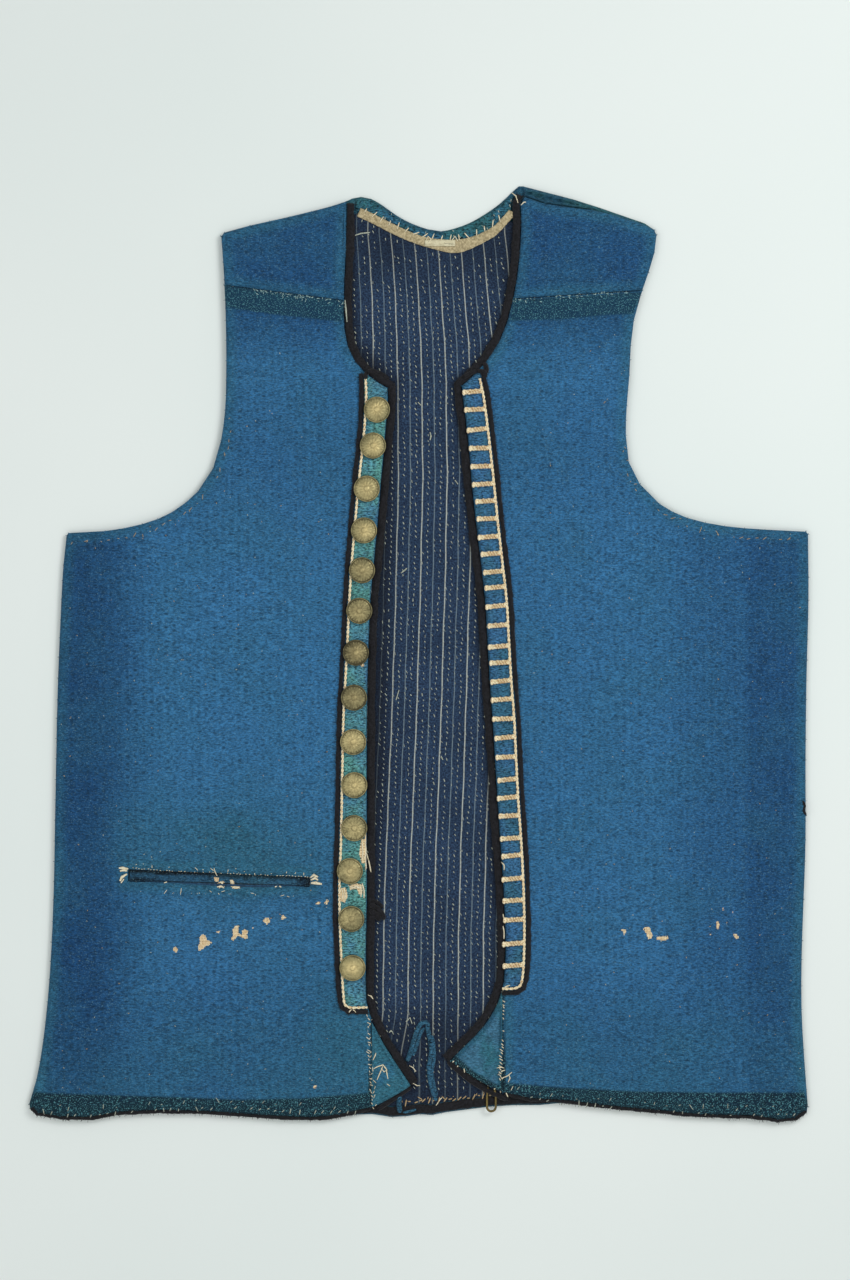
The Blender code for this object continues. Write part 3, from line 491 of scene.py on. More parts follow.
@dataclass(frozen=True)
class Yarn:
    """Spun thread, braid or tape: plied fibres that break the light into short dull glints.

    The sizes of its grain and of its specks are in mm.
    """

    name: str
    light: str
    dark: str
    fibre: float = 0.9
    speck: str = ""
    speck_size: float = 1.1111
    roughness: float = 0.88
    slot: str = "cream_cord"

    def make(self) -> bpy.types.Material:
        """Mix the finish.

        Returns:
            The material.
        """
        r = Recipe(self.name, self.roughness)
        r.set(Sheen_Weight=0.12, Sheen_Roughness=0.5, Specular_IOR_Level=0.25)
        place = r.add("TexCoord", out="Object")

        # Fibres of 0.02 mm, drawn as flecks of about 1 mm, which the picture can just show
        fibre = r.add("TexNoise", {"Vector": place, "Scale": grain(self.fibre), "Detail": 3.0,
                                   "Roughness": 0.65})
        share = r.add("MapRange", {0: fibre, 1: 0.34, 2: 0.66})
        tone = r.add("Mix", {0: share, 6: rgb(self.dark), 7: rgb(self.light)}, 2,
                     data_type="RGBA")
        if self.speck:
            soiled = r.add("TexNoise", {"Vector": place, "Scale": grain(self.speck_size),
                                        "Detail": 2.0})
            few = r.add("MapRange", {0: soiled, 1: 0.56, 2: 0.64, 3: 0.0, 4: 0.8})
            tone = r.add("Mix", {0: few, 6: tone, 7: rgb(self.speck)}, 2, data_type="RGBA")
        r.set(Base_Color=tone)
        r.set(Normal=r.add("Bump", {"Height": fibre, "Strength": 0.5, "Distance": 0.2 * MM}))
        return r.material


@dataclass(frozen=True)
class Metal:
    """Cast or drawn metal that has dulled: dirt in its hollows, a rubbed gleam on its tops.

    The sizes of its pits and of its stains are in mm.
    """

    name: str
    body: str
    rubbed: str
    dirt: str
    polished: str = "#D8C58D"
    pits: float = 2.381
    stains: float = 14.286
    roughness: float = 0.5
    metallic: float = 0.7
    slot: str = "button_metal"

    def make(self) -> bpy.types.Material:
        """Mix the finish.

        Returns:
            The material.
        """
        r = Recipe(self.name, self.roughness, self.metallic)
        place = r.add("TexCoord", out="Object")

        # Pits of a fifth of a millimetre in clusters of 2.4 mm, and stains of 14 mm
        patina = r.add("TexNoise", {"Vector": place, "Scale": grain(self.pits), "Detail": 4.0,
                                    "Roughness": 0.65})
        bloom = r.add("TexNoise", {"Vector": place, "Scale": grain(self.stains), "Detail": 2.0})
        pit = r.add("Attribute", out="Fac", attribute_name="pit")
        age = r.add("MapRange", {0: bloom, 1: 0.35, 2: 0.65})
        tone = r.add("Mix", {0: age, 6: rgb(self.body), 7: rgb(self.rubbed)}, 2,
                     data_type="RGBA")
        grime = r.add("Math", {0: patina, 1: 1.1, 2: pit}, operation="MULTIPLY_ADD")
        grime = r.add("MapRange", {0: grime, 1: 0.62, 2: 1.25, 3: 0.0, 4: 0.9})
        tone = r.add("Mix", {0: grime, 6: tone, 7: rgb(self.dirt)}, 2, data_type="RGBA")
        rub = r.add("Attribute", out="Fac", attribute_name="rub")
        rub = r.add("Math", {0: rub, 1: age, 2: rub}, operation="MULTIPLY_ADD", use_clamp=True)
        tone = r.add("Mix", {0: rub, 6: tone, 7: rgb(self.polished)}, 2, data_type="RGBA")
        r.set(Base_Color=tone)
        r.set(Roughness=r.add("MapRange", {0: patina, 1: 0.3, 2: 0.7,
                                           3: self.roughness - 0.1, 4: self.roughness + 0.2}))
        r.set(Normal=r.add("Bump", {"Height": patina, "Strength": 0.35, "Distance": 0.15 * MM}))
        return r.material


@dataclass(frozen=True)
class Paper:
    """Matt backdrop paper: it gives no gleam and is barely clouded, by half a metre."""

    name: str
    dim: str
    light: str
    cloud: float = 454.5

    def make(self) -> bpy.types.Material:
        """Mix the finish.

        Returns:
            The material.
        """
        r = Recipe(self.name, 0.95)
        place = r.add("TexCoord", out="Object")
        cloud = r.add("TexNoise", {"Vector": place, "Scale": grain(self.cloud), "Detail": 2.0})
        share = r.add("MapRange", {0: cloud, 1: 0.35, 2: 0.65})
        r.set(Base_Color=r.add("Mix", {0: share, 6: rgb(self.dim), 7: rgb(self.light)}, 2,
                               data_type="RGBA"))
        return r.material


Finish = Wool | Lining | Yarn | Metal

BLUE_WOOL = Wool("wool_quilted_blue", "#2F638C", "#183F66", "#295A73")
BACK_WOOL = Wool("wool_back_green", "#2A566C", "#21465F", "#28545C")
BLUE_STRIP = Wool("wool_placket_blue", "#335E84", "#1F4266", "#2D5870", contrast=0.85)
VENT_WOOL = Wool("wool_vent_edge", "#294F66", "#152E40", "#275260", contrast=0.95)
TEAL_STRIP = Wool("wool_placket_teal", "#3F7088", "#33597A", "#4B807C", pale="#93BDB8",
                  contrast=0.9, slot="teal_cloth")
TEAL_GUSSET = Wool("wool_gusset_teal", "#2E6280", "#1D475C", "#2F6274", slot="teal_cloth")
BLUE_GUSSET = Wool("wool_gusset_blue", "#3A647E", "#1C455C", "#2C6070", slot="teal_cloth")
TEAL_FACING = Wool("wool_facing_teal", "#26536F", "#173646", "#28555C", contrast=0.9,
                   slot="teal_cloth")
# The welt's near-black side colour is the painted shadow inside the pocket slit
WELT_WOOL = Wool("wool_pocket_welt", "#28506F", "#090F16", "#28505F", contrast=0.6,
                 slot="dark_welt")
NAVY_LINING = Lining("lining_navy_striped", "#142036", "#304762", "#ACB1A9", "#6D7D85")
BLACK_BRAID = Yarn("braid_black_wool", "#1E1E23", "#050507", fibre=1.3, slot="black_binding")
FLAX_TAPE = Yarn("tape_unbleached_flax", "#C4B590", "#86795A", fibre=1.3, slot="cream_tape")
BARE_LABEL = Yarn("label_bare_cotton", "#DAD4B4", "#BFB695", fibre=2.2, slot="cream_tape")
CREAM_CORD = Yarn("cord_cream_wool", "#FFF5D6", "#E0CB9B", speck="#B98A5A")
CREAM_THREAD = Yarn("thread_cream_cotton", "#F0E8CE", "#C9BC9A")
GREY_THREAD = Yarn("thread_grey_linen", "#BEC2B0", "#8B9286")
TAN_THREAD = Yarn("thread_tan_linen", "#C2A87E", "#8E7856")
BARED_WARP = Yarn("thread_bared_warp", "#F3E6C3", "#CDAE82", fibre=1.4)
LIP_WOOL = Yarn("wool_pocket_lip", "#28506F", "#122A40", fibre=1.4, slot="dark_welt")
TEAL_THREAD = Yarn("thread_pale_teal_wool", "#B2CCC8", "#7CA2A2")
RUST_THREAD = Yarn("thread_faded_rust", "#CC9E66", "#A87844")
PEWTER = Metal("pewter_worn_khaki", "#827C58", "#A69B6E", "#2E2A1B")
BRASS = Metal("brass_wire_aged", "#4E4128", "#7C6C3E", "#1A160E", slot="hook_wire")


@dataclass(frozen=True)
class Quilting:
    """Rows of sunk stitches that run up the cloth, with ridges between them."""

    pitch: float = QUILT_PITCH
    stitch: float = 4.3
    ridge: float = 0.2
    sink: float = 0.34
    wander: float = 0.9
    reach: tuple[float, float] = (1.4, 1.0)
    seed: int = 5

    def read(self, x: np.ndarray, y: np.ndarray) -> tuple[np.ndarray, dict[str, np.ndarray]]:
        """Read the quilting at some places.

        Args:
            x: Places across the rows, in mm.
            y: Places along the rows, in mm.

        Returns:
            The height of the ridges in mm, and the marks of each stitch: its row, the
            place along it, and how far it pulls in.
        """
        chance = np.random.default_rng(self.seed)
        columns, rows = 240, 400
        lead = chance.random(columns) * self.stitch
        push = chance.normal(0.0, 0.45, (columns, rows))
        pull = chance.uniform(0.1, 1.15, (columns, rows)) * chance.uniform(0.6, 1.0, (columns, 1))
        sway = np.sin(y / 41.0 + x / 60.0) * 0.7 + np.sin(y / 13.0 + x / 23.0) * 0.3
        bent = x - self.wander * sway
        column = np.floor(bent / self.pitch).astype(int)
        across = bent - (column + 0.5) * self.pitch
        index = np.clip(column + columns // 2, 0, columns - 1)
        along = y + lead[index]
        row = np.round(along / self.stitch).astype(int)
        spot_row = np.clip(row + rows // 2, 0, rows - 1)
        moved = along + push[index, spot_row]
        strength = pull[index, spot_row]
        off = moved - row * self.stitch
        sunk = strength * np.exp(-(across / self.reach[0]) ** 2 - (off / self.reach[1]) ** 2)
        ridge = 0.5 - 0.5 * np.cos(2 * math.pi * across / self.pitch)
        return self.ridge * ridge - self.sink * sunk, {
            "row": bent / self.pitch, "along": moved / self.stitch + 0.5, "stitch": strength,
        }


@dataclass(frozen=True)
class Stripes:
    """The lining's warp stripes: the line of the middle one and their spacing, in steps.

    Below the foot, the stripes left of the turn lean outwards where the lining is slit.
    """

    heights: tuple[float, ...] = (
        232.0, 265.0, 295.0, 340.0, 385.0, 475.0, 565.0, 655.0, 745.0, 835.0, 925.0, 1015.0,
        1120.0,
    )
    middle: tuple[float, ...] = (
        413.5, 416.4, 418.2, 420.8, 421.9, 422.8, 421.0, 418.4, 415.4, 411.6, 408.8, 408.0,
        407.6,
    )
    spacing: tuple[float, ...] = (
        11.4, 11.5, 11.6, 11.9, 12.1, 12.2, 12.28, 12.25, 12.36, 12.45, 12.5, 12.5, 12.4,
    )
    lean: float = 7.0
    foot: float = 1010.0
    turn: float = 408.0

    def at(self, x: np.ndarray, y: np.ndarray) -> np.ndarray:
        """Number the stripes at some places.

        Args:
            x: Places across, in mm.
            y: Places up, in mm.

        Returns:
            The stripe's number at each place, whole on a stripe.
        """
        px, py = steps(x, y)
        leaning = self.lean * smooth((py - self.foot) / 50.0)
        leaning = leaning * (1.0 - smooth((px - self.turn) / 14.0))
        sway = 0.5 * np.sin(py / 17.0 + px / 31.0) + 0.4 * np.sin(py / 7.0)
        middle = np.interp(py, self.heights, self.middle)
        spacing = np.interp(py, self.heights, self.spacing)
        return (px - middle + leaning + 0.35 * sway) / spacing

    def place(self, stripe: float, y: float) -> float:
        """Find a stripe.

        Args:
            stripe: The stripe's number.
            y: The height, in mm.

        Returns:
            The place across, in mm.
        """
        _, py = steps(0.0, y)
        px = np.interp(py, self.heights, self.middle) + stripe * np.interp(
            py, self.heights, self.spacing
        )
        px -= self.lean * float(smooth(np.array((py - self.foot) / 50.0))) * (px < self.turn)
        return spot(float(px), py)[0]


# Selvedges of the wool: lower and upper line across each shoulder and above the hem
SHOULDER_BANDS = (
    (spots((218, 283), (226, 285), (283, 293), (341, 300), (352, 301)),
     spots((218, 308), (226, 308), (283, 316), (341, 322), (352, 323))),
    (spots((505, 299), (514, 299), (560, 295), (600, 292), (642, 290)),
     spots((505, 321), (514, 321), (560, 320), (600, 316), (642, 314))),
)
HEM_BANDS = (
    (spots((20, 1091), (60, 1093), (160, 1096), (240, 1099), (300, 1098), (372, 1092)),
     spots((20, 1140), (372, 1140))),
    (spots((502, 1082), (560, 1087), (640, 1091), (720, 1092), (820, 1092)),
     spots((502, 1140), (820, 1140))),
)

# Patches where moths have eaten the nap, as loops
MOTH_PATCHES = tuple(spots(*loop) for loop in (
    ((200, 936), (203, 934), (206, 936), (207, 940), (210, 941), (212, 943), (210, 945),
     (206, 946), (203, 949), (199, 951), (198, 946), (200, 942), (199, 938)),
    ((215, 931), (221, 930), (219, 934), (216, 933)),
    ((235, 926), (239, 925), (239, 930), (238, 933), (242, 935), (242, 930), (245, 929),
     (248, 931), (247, 935), (248, 938), (245, 939), (241, 937), (238, 936), (235, 939),
     (233, 941), (231, 939), (233, 935), (232, 930)),
    ((252, 926), (254, 926), (254, 929), (252, 929)),
    ((263, 921), (265, 918), (269, 918), (270, 922), (267, 925), (264, 922)),
    ((281, 917), (283, 914), (286, 918), (282, 920)),
    ((314, 903), (318, 901), (321, 902), (320, 905), (315, 905)),
    ((324, 903), (327, 899), (329, 901), (327, 905)),
    ((173, 948), (176, 946), (178, 950), (177, 953), (174, 952)),
    ((262, 912), (265, 912), (265, 914), (262, 914)), ((276, 911), (279, 912), (277, 914)),
    ((620, 929), (626, 929), (626, 932), (624, 935), (623, 932)),
    ((643, 929), (645, 927), (648, 926), (650, 928), (651, 932), (653, 936), (651, 939),
     (648, 939), (646, 933)),
    ((656, 937), (660, 936), (663, 936), (669, 936), (668, 939), (664, 941), (660, 940),
     (657, 940)),
    ((716, 921), (719, 920), (720, 925), (719, 930), (717, 931), (716, 927)),
    ((709, 931), (712, 934), (711, 936), (708, 934)),
    ((733, 934), (737, 934), (739, 937), (737, 940), (734, 937)),
    ((722, 907), (724, 908), (725, 911), (722, 911)), ((731, 909), (734, 911), (733, 914)),
    ((313, 1085), (317, 1085), (317, 1089), (313, 1089)),
    ((163, 881), (167, 881), (166, 885), (163, 885)),
    ((171, 882), (175, 882), (175, 885), (171, 885)),
    ((214, 877), (219, 878), (218, 882), (214, 881)),
    ((217, 883), (224, 881), (225, 887), (219, 888)),
    ((230, 880), (233, 880), (235, 885), (240, 886), (238, 889), (231, 888)),
    ((274, 885), (281, 885), (281, 888), (275, 888)),
))

# Worn places of the teal placket, where its pale warp shows
WORN_PLACKET = tuple(spots(*loop) for loop in (
    ((361, 839), (368, 838), (370, 850), (367, 862), (362, 864), (359, 854)),
    ((340, 888), (346, 887), (348, 896), (345, 903), (340, 901)),
    ((349, 885), (356, 883), (362, 884), (363, 894), (359, 895), (357, 889), (350, 890)),
    ((361, 662), (365, 664), (363, 668), (360, 666)),
))

# Edges of the fronts beside the lining, which lie in their shade
SHADE_RIGHT = spots((350, 210), (346, 300), (352, 345), (391, 382), (386, 500), (380, 700),
                    (371, 900), (371, 1010), (385, 1050), (413, 1085), (378, 1112))
SHADE_LEFT = spots((519, 205), (514, 290), (500, 345), (460, 385), (477, 520), (490, 700),
                   (500, 900), (503, 985), (490, 1015), (447, 1056), (508, 1100))


def cloth_marks(x: np.ndarray, y: np.ndarray, edge: np.ndarray) -> dict[str, np.ndarray]:
    """Return where the outer wool is shaded, faded, banded and eaten.

    Args:
        x: Places across, in mm.
        y: Places up, in mm.
        edge: Distances from the cloth's edge, in mm.

    Returns:
        The marks that the wool's finish reads, by name.
    """
    # Shade of the right side, the left side and its seam, the edges, the shoulders, the
    # hem, the chest, and the whole left front
    shade = np.max([
        smooth((-160.0 - x) / 56.0),
        0.55 * smooth((x - 128.0) / 76.0),
        0.85 * smooth((x - 200.0) / 18.0),
        0.3 * (1.0 - smooth(edge / 20.0)),
        0.86 * smooth((y - 175.0) / 52.0),
        0.45 * smooth((-175.0 - y) / 80.0),
        0.3 * np.exp(-((y - 132.0) / 50.0) ** 2),
        0.12 * (x > 0.0),
    ], axis=0)

    # Greener round the pocket, in the right front's lower corner, low down and at the rim
    pocket = np.exp(-((x + 122.0) / 75.0) ** 2 - ((y + 128.0) / 34.0) ** 2)
    corner = np.exp(-((x + 52.0) / 34.0) ** 2 - ((y + 255.0) / 60.0) ** 2)
    low = 0.3 * smooth((-215.0 - y) / 55.0)
    rim = 0.5 * (1.0 - smooth((edge - 1.0) / 7.0))
    green = np.clip(0.8 * pocket + 0.6 * corner + low + rim, 0.0, 1.0)
    band = np.zeros(x.shape)
    for upper, lower in (*SHOULDER_BANDS, *HEM_BANDS):
        top = np.interp(x, *zip(*upper))
        foot = np.interp(x, *zip(*lower))
        deep = np.minimum(top - y, y - foot)
        across = np.minimum(x - upper[0][0], upper[-1][0] - x)
        band = np.maximum(band, np.where(across > 0.0, 0.5 + 0.25 * deep, 0.0))
    moth = np.zeros(x.shape)
    for loop in MOTH_PATCHES:
        middle = np.mean(loop, axis=0)
        near = np.hypot(x - middle[0], y - middle[1]) < PATCH_REACH
        if near.any():
            deep = 0.42 + 0.6 * depth_inside(x[near], y[near], loop)
            moth[near] = np.maximum(moth[near], deep)
    return {"shade": shade, "green": green, "band": np.clip(band, 0.0, 1.0),
            "high": smooth(y / 50.0), "moth": np.clip(moth, 0.0, 1.0)}


class Nap(Enum):
    """How a piece of cloth is worked."""

    QUILTED = "quilted in stitched rows"
    LINED = "quilted by hand through stripes"
    FULLED = "milled flat"
    WORN = "milled flat, with its warp worn bare"
    RIBBED = "woven in fine ribs"
    MATTED = "braided and matted"


@dataclass
class Face:
    """Where the vertices of a piece lie, and how its cloth waves there."""

    x: np.ndarray
    y: np.ndarray
    edge: np.ndarray

    def __post_init__(self) -> None:
        """Work out the slow waves and the fine unevenness."""
        places = list(zip(self.x, self.y))
        self.waves = np.array([noise.noise((a / 16.0, b / 21.0, 3.1)) for a, b in places])
        self.fine = np.array([noise.noise((a / 2.6, b / 2.1, 7.7)) for a, b in places])


@dataclass
class ClothPiece:
    """One piece of cloth, laid as a fine shell on the solid that it stands for."""

    node: str
    finish: Finish
    nap: Nap
    name: str
    step: float = 1.3
    soft: float = 0.5
    window: tuple[float, float, float, float] = (-400.0, 400.0, -400.0, 400.0)
    whole: bool = False
    fuzz: float = 0.28
    slit: float | None = None
    covers: tuple[str, ...] = ()
    quilting: Quilting = field(default_factory=Quilting)

    def build(self) -> bpy.types.Object:
        """Build the piece and put it in the place of its solid.

        Returns:
            The piece.
        """
        bm = self.merged_copy(self.node)
        under = BVHTree.FromBMesh(bm)
        layer = bm.faces.layers.int.new("upper")
        for face in bm.faces:
            face[layer] = int(self.whole or face.normal.z > 0.85)
        # Three rounds reach the slivers and the slopes that adjoin the upper face
        for face in [*bm.faces] * 3:
            around = [
                other[layer] for edge in face.edges for other in edge.link_faces
                if other is not face
            ]
            sliver = face.calc_area() < 0.02 * MM * MM
            if sum(around) >= 2 and (sliver or face.normal.z > 0.3):
                face[layer] = 1
        self.round_edges(bm, layer)
        if not self.whole:
            self.open_field(bm, layer)
        for axis, (low, high) in ((1, self.window[2:]), (0, self.window[:2])):
            upper = [face for face in bm.faces if face[layer]]
            ends = [vert.co[axis] / MM for face in upper for vert in face.verts]
            first = math.ceil(max(min(ends), low) / self.step)
            last = math.floor(min(max(ends), high) / self.step)
            places = [(k + 0.003) * self.step * MM for k in range(first, last + 1)]
            self.rule(bm, upper, axis, places)
        if self.whole:
            self.ruffle(bm)
        else:
            self.lay(bm, layer, under)
        bm.faces.layers.int.remove(layer)
        mesh = bpy.data.meshes.new(self.name)
        bmesh.ops.triangulate(bm, faces=[f for f in bm.faces if len(f.verts) > 4])
        bm.to_mesh(mesh)
        bm.free()
        mesh.shade_smooth()
        mesh.materials.append(MATERIALS.get(self.finish))
        piece = placed(self.name, mesh)
        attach(piece, BODY)
        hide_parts(self.node)
        return piece

    @staticmethod
    def merged_copy(node: str) -> bmesh.types.BMesh:
        """Copy a solid's mesh and join its loose triangles.

        Args:
            node: The solid's node.

        Returns:
            The joined copy.
        """
        bm = bmesh.new()
        bm.from_mesh(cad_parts[node].data)
        bmesh.ops.remove_doubles(bm, verts=bm.verts, dist=0.001 * MM)
        bmesh.ops.dissolve_degenerate(bm, dist=0.005 * MM, edges=bm.edges)
        return bm

    def round_edges(self, bm: bmesh.types.BMesh, layer: bmesh.types.BMLayerItem) -> None:
        """Round the rim of the wall, all but the edge that it rests on.

        Args:
            bm: The mesh.
            layer: Tells the upper faces.
        """
        sharp = [
            edge for edge in bm.edges
            if edge.is_manifold and edge.calc_face_angle(0.0) > math.radians(20.0)
            and min(face.normal.z for face in edge.link_faces) > -0.9
            and (self.whole or not all(face[layer] for face in edge.link_faces))
        ]
        made = bmesh.ops.bevel(
            bm, geom=sharp, offset=self.soft * MM, offset_type="OFFSET", segments=2,
            profile=0.5, affect="EDGES", material=-1, clamp_overlap=True,
        )
        for face in made["faces"]:
            face[layer] = int(self.whole)
        bm.normal_update()

    def open_field(self, bm: bmesh.types.BMesh, layer: bmesh.types.BMLayerItem) -> None:
        """Join the upper faces into a large one, or into two that part at the slit.

        Args:
            bm: The mesh.
            layer: Tells the upper faces.
        """
        upper = [face for face in bm.faces if face[layer]]
        if self.slit is None:
            bmesh.ops.dissolve_faces(bm, faces=upper)
            return
        place = self.slit * MM
        self.rule(bm, upper, 0, [place])
        for side in (-1, 1):
            half = [
                face for face in bm.faces
                if face[layer] and side * (face.calc_center_median().x - place) > 0.0
            ]
            bmesh.ops.dissolve_faces(bm, faces=half)

    def rule(
        self, bm: bmesh.types.BMesh, faces: list[bmesh.types.BMFace], axis: int,
        places: Sequence[float],
    ) -> None:
        """Cut faces along parallel lines, the middle line first, then both halves.

        Args:
            bm: The mesh.
            faces: The faces to cut.
            axis: 0 for lines across x, 1 for lines across y.
            places: Where the lines run, in metres, in rising order.
        """
        if not places or not faces:
            return
        normal = Vector((1.0, 0.0, 0.0)) if axis == 0 else Vector((0.0, 1.0, 0.0))
        middle = len(places) // 2
        place = places[middle]
        geom = list({part for face in faces for part in (face, *face.edges, *face.verts)})
        cut = bmesh.ops.bisect_plane(
            bm, geom=geom, dist=1e-7, plane_co=normal * place, plane_no=normal,
        )
        halves = ([], [])
        for part in cut["geom"]:
            if isinstance(part, bmesh.types.BMFace):
                halves[part.calc_center_median()[axis] > place].append(part)
        self.rule(bm, halves[0], axis, places[:middle])
        self.rule(bm, halves[1], axis, places[middle + 1:])

    def lay(
        self, bm: bmesh.types.BMesh, layer: bmesh.types.BMLayerItem, under: BVHTree
    ) -> None:
        """Raise the upper face into its relief and mark it for its finish.

        Args:
            bm: The mesh.
            layer: Tells the upper faces.
            under: The solid, whose underside the wall stands on.
        """
        upper = {vert for face in bm.faces if face[layer] for vert in face.verts}
        rim = {vert for vert in upper if any(not face[layer] for face in vert.link_faces)}
        tree = kdtree.KDTree(len(rim))
        for k, vert in enumerate(rim):
            tree.insert((vert.co.x, vert.co.y, 0.0), k)
        tree.balance()
        covers = [BVHTree.FromBMesh(self.merged_copy(node)) for node in self.covers]
        verts = list(bm.verts)
        edge = np.zeros(len(verts))
        for k, vert in enumerate(verts):
            if vert in upper and vert not in rim:
                edge[k] = tree.find((vert.co.x, vert.co.y, 0.0))[2] / MM
        x, y = (np.array([vert.co[axis] for vert in verts]) / MM for axis in (0, 1))
        relief = {Nap.QUILTED: self.quilted, Nap.LINED: self.lined}.get(self.nap, self.milled)
        lift, marks = relief(Face(x, y, edge))
        wall = QUILTED_WALL if self.nap == Nap.QUILTED else PLAIN_WALL
        for k, vert in enumerate(verts):
            if edge[k] == 0.0:
                continue
            start = Vector((vert.co.x, vert.co.y, -10.0 * MM))
            hit = under.ray_cast(start, UP)[0]
            rise = lift[k]
            if rise > 0.0:
                start.z = 0.0
                if any(cover.ray_cast(start, UP)[0] for cover in covers):
                    rise = 0.0
            vert.co.z = hit.z + (wall + rise) * MM
        for name in marks:
            bm.verts.layers.float.new(name)
        for name, values in marks.items():
            mark = bm.verts.layers.float[name]
            for vert, value in zip(bm.verts, values):
                vert[mark] = float(value)

    def quilted(self, face: Face) -> tuple[np.ndarray, dict[str, np.ndarray]]:
        """Raise quilted wool between its stitches, flat on its selvedges and eaten patches.

        Args:
            face: The piece's vertices.

        Returns:
            The lift of each in mm, and the marks that the finish reads.
        """
        marks = cloth_marks(face.x, face.y, face.edge)
        ridges, stitches = self.quilting.read(face.x, face.y)
        fade = smooth((face.edge - 0.5) / 5.0)
        plain = smooth((marks["band"] - 0.4) / 0.4)
        eaten = smooth((marks["moth"] - 0.3) / 0.4)
        lift = fade * (1.0 - plain) * (ridges + 0.3 * face.waves)
        lift += 0.45 * plain * smooth(face.edge / 2.0) + 0.1 * face.fine - 0.5 * eaten
        # How strongly each stitch's dimple takes its painted shade
        shown = 0.75 * fade * (1.0 - plain) * (1.0 - eaten)
        return lift, marks | stitches | {"stitch": stitches["stitch"] * shown}

    def lined(self, face: Face) -> tuple[np.ndarray, dict[str, np.ndarray]]:
        """Quilt the lining along its stripes, in the shade of the fronts, hem and neck.

        Args:
            face: The piece's vertices.

        Returns:
            The lift of each in mm, and the marks that the finish reads.
        """
        x, y = face.x, face.y
        stripe = STRIPES.at(x, y)
        ridges, _ = self.quilting.read(stripe * self.quilting.pitch, y)
        lift = smooth(face.edge / 3.0) * (ridges + 0.12 * face.waves) + 0.04 * face.fine
        corners = np.exp(-((x + 50.0) / 9.0) ** 2) + np.exp(-((x - 63.0) / 9.0) ** 2)
        shadow = np.max([
            0.55 * smooth((-218.0 - y) / 30.0),
            0.75 * (1.0 - smooth(distance(x, y, SHADE_RIGHT) / 11.0)),
            0.75 * (1.0 - smooth(distance(x, y, SHADE_LEFT) / 11.0)),
            0.4 * smooth((y - 225.0) / 45.0),
            0.75 * corners * smooth((y - 205.0) / 45.0),
        ], axis=0)
        return lift, {"stripe": stripe, "shade": shadow}

    def milled(self, face: Face) -> tuple[np.ndarray, dict[str, np.ndarray]]:
        """Leave flat cloth a little uneven, darker at its edges, worn and faded in places.

        Args:
            face: The piece's vertices.

        Returns:
            The lift of each in mm, and the marks that the finish reads.
        """
        x, y, edge, waves, fine = face.x, face.y, face.edge, face.waves, face.fine
        lift = smooth(edge / 1.5) * (0.12 * waves + 0.1 * fine)
        marks = cloth_marks(x, y, edge)
        if self.nap == Nap.WORN:
            worn = [0.5 + 0.5 * depth_inside(x, y, loop) for loop in WORN_PLACKET]
            marks["moth"] = np.clip(np.max(worn, axis=0), 0.0, 1.0)
        # Painted shade along the rolled edges, and darker patches at random
        rim = 0.8 * (1.0 - smooth(edge / 2.0))
        marks["shade"] = np.clip(rim + 0.9 * np.clip(fine + waves, 0.0, 1.0), 0.0, 1.0)
        marks["green"] = np.clip(0.45 + 1.5 * waves + 0.5 * fine, 0.0, 1.0)
        marks["band"] = np.zeros(x.shape)
        if self.node == "pocket_welt":
            # Painted shadow of the slit's upper lip lies along the welt's top and at both its
            # ends; below it the welt shows
            lip = np.interp(x, *zip(*spots((127, 870), (318, 877))))
            shown = smooth((lip - y - 1.2 + 2.2 * waves + 1.4 * fine) / 2.6)
            front = np.exp(-((x + 182.0) / 13.0) ** 2 - ((y + 146.8) / 2.2) ** 2)
            back = np.exp(-((x + 71.0) / 8.0) ** 2 - ((y + 149.5) / 3.0) ** 2)
            marks["shade"] = 1.0 - 0.8 * shown * (1.0 - front) * (1.0 - back)
            marks["green"] = 0.4 * marks["green"] * (1.0 - marks["shade"])
        if self.node == "gusset_left":
            # The selvedge runs on along the gusset's foot
            foot = distance(x, y, spots((444, 1055), (470, 1078), (495, 1092), (515, 1098)))
            marks["band"] = np.clip(0.5 + 0.25 * (5.0 - foot), 0.0, 1.0)
        return lift, marks

    def ruffle(self, bm: bmesh.types.BMesh) -> None:
        """Roughen a narrow trim all over, but not where it rests.

        Args:
            bm: The mesh.
        """
        bm.normal_update()
        for vert in bm.verts:
            x, y, z = vert.co / MM
            self.settle(vert)

            # Tufts of 2 mm, waves of 8 mm, and on a tape the ribs, 2 mm apart both ways
            push = self.fuzz * noise.noise((x / 1.9, y / 1.9, z / 1.9))
            push += 0.8 * self.fuzz * noise.noise((x / 8.0, y / 8.0, 5.5))
            if self.nap == Nap.RIBBED:
                ribs = math.sin(x * 2.2 + y * 2.2) * math.sin(x * 2.2 - y * 2.2)
                push = 0.5 * push + 0.1 * ribs
            if vert.normal.z > -0.5:
                vert.co += vert.normal * (push * MM)

    def settle(self, vert: bmesh.types.BMVert) -> None:
        """Draw the neck's tape out and down, and lift its label's foot.

        Args:
            vert: A vertex of the piece.
        """
        x, y, _ = vert.co / MM
        if self.node == "neck_label" and y < LABEL_FOOT:
            vert.co.y += LABEL_LIFT * MM
        if self.node == "neck_tape":
            if x > TAPE_END:
                vert.co += TAPE_STRETCH * (x - TAPE_END) * MM
            middle = 267.0 + 0.3 * max(x - 27.0, 0.0)
            sag = math.exp(-(((x - 24.0) / 13.0) ** 2))
            vert.co.y -= TAPE_SAG * sag * smooth((middle + 2.0 - y) / 4.0) * MM


class Materials:
    """The materials made so far, one for each finish."""

    def __init__(self) -> None:
        """Start with none."""
        self.made: dict[Finish, bpy.types.Material] = {}

    def get(self, finish: Finish) -> bpy.types.Material:
        """Return a finish's material, made once.

        Args:
            finish: The finish.

        Returns:
            Its material.
        """
        if finish not in self.made:
            self.made[finish] = finish.make()
        return self.made[finish]


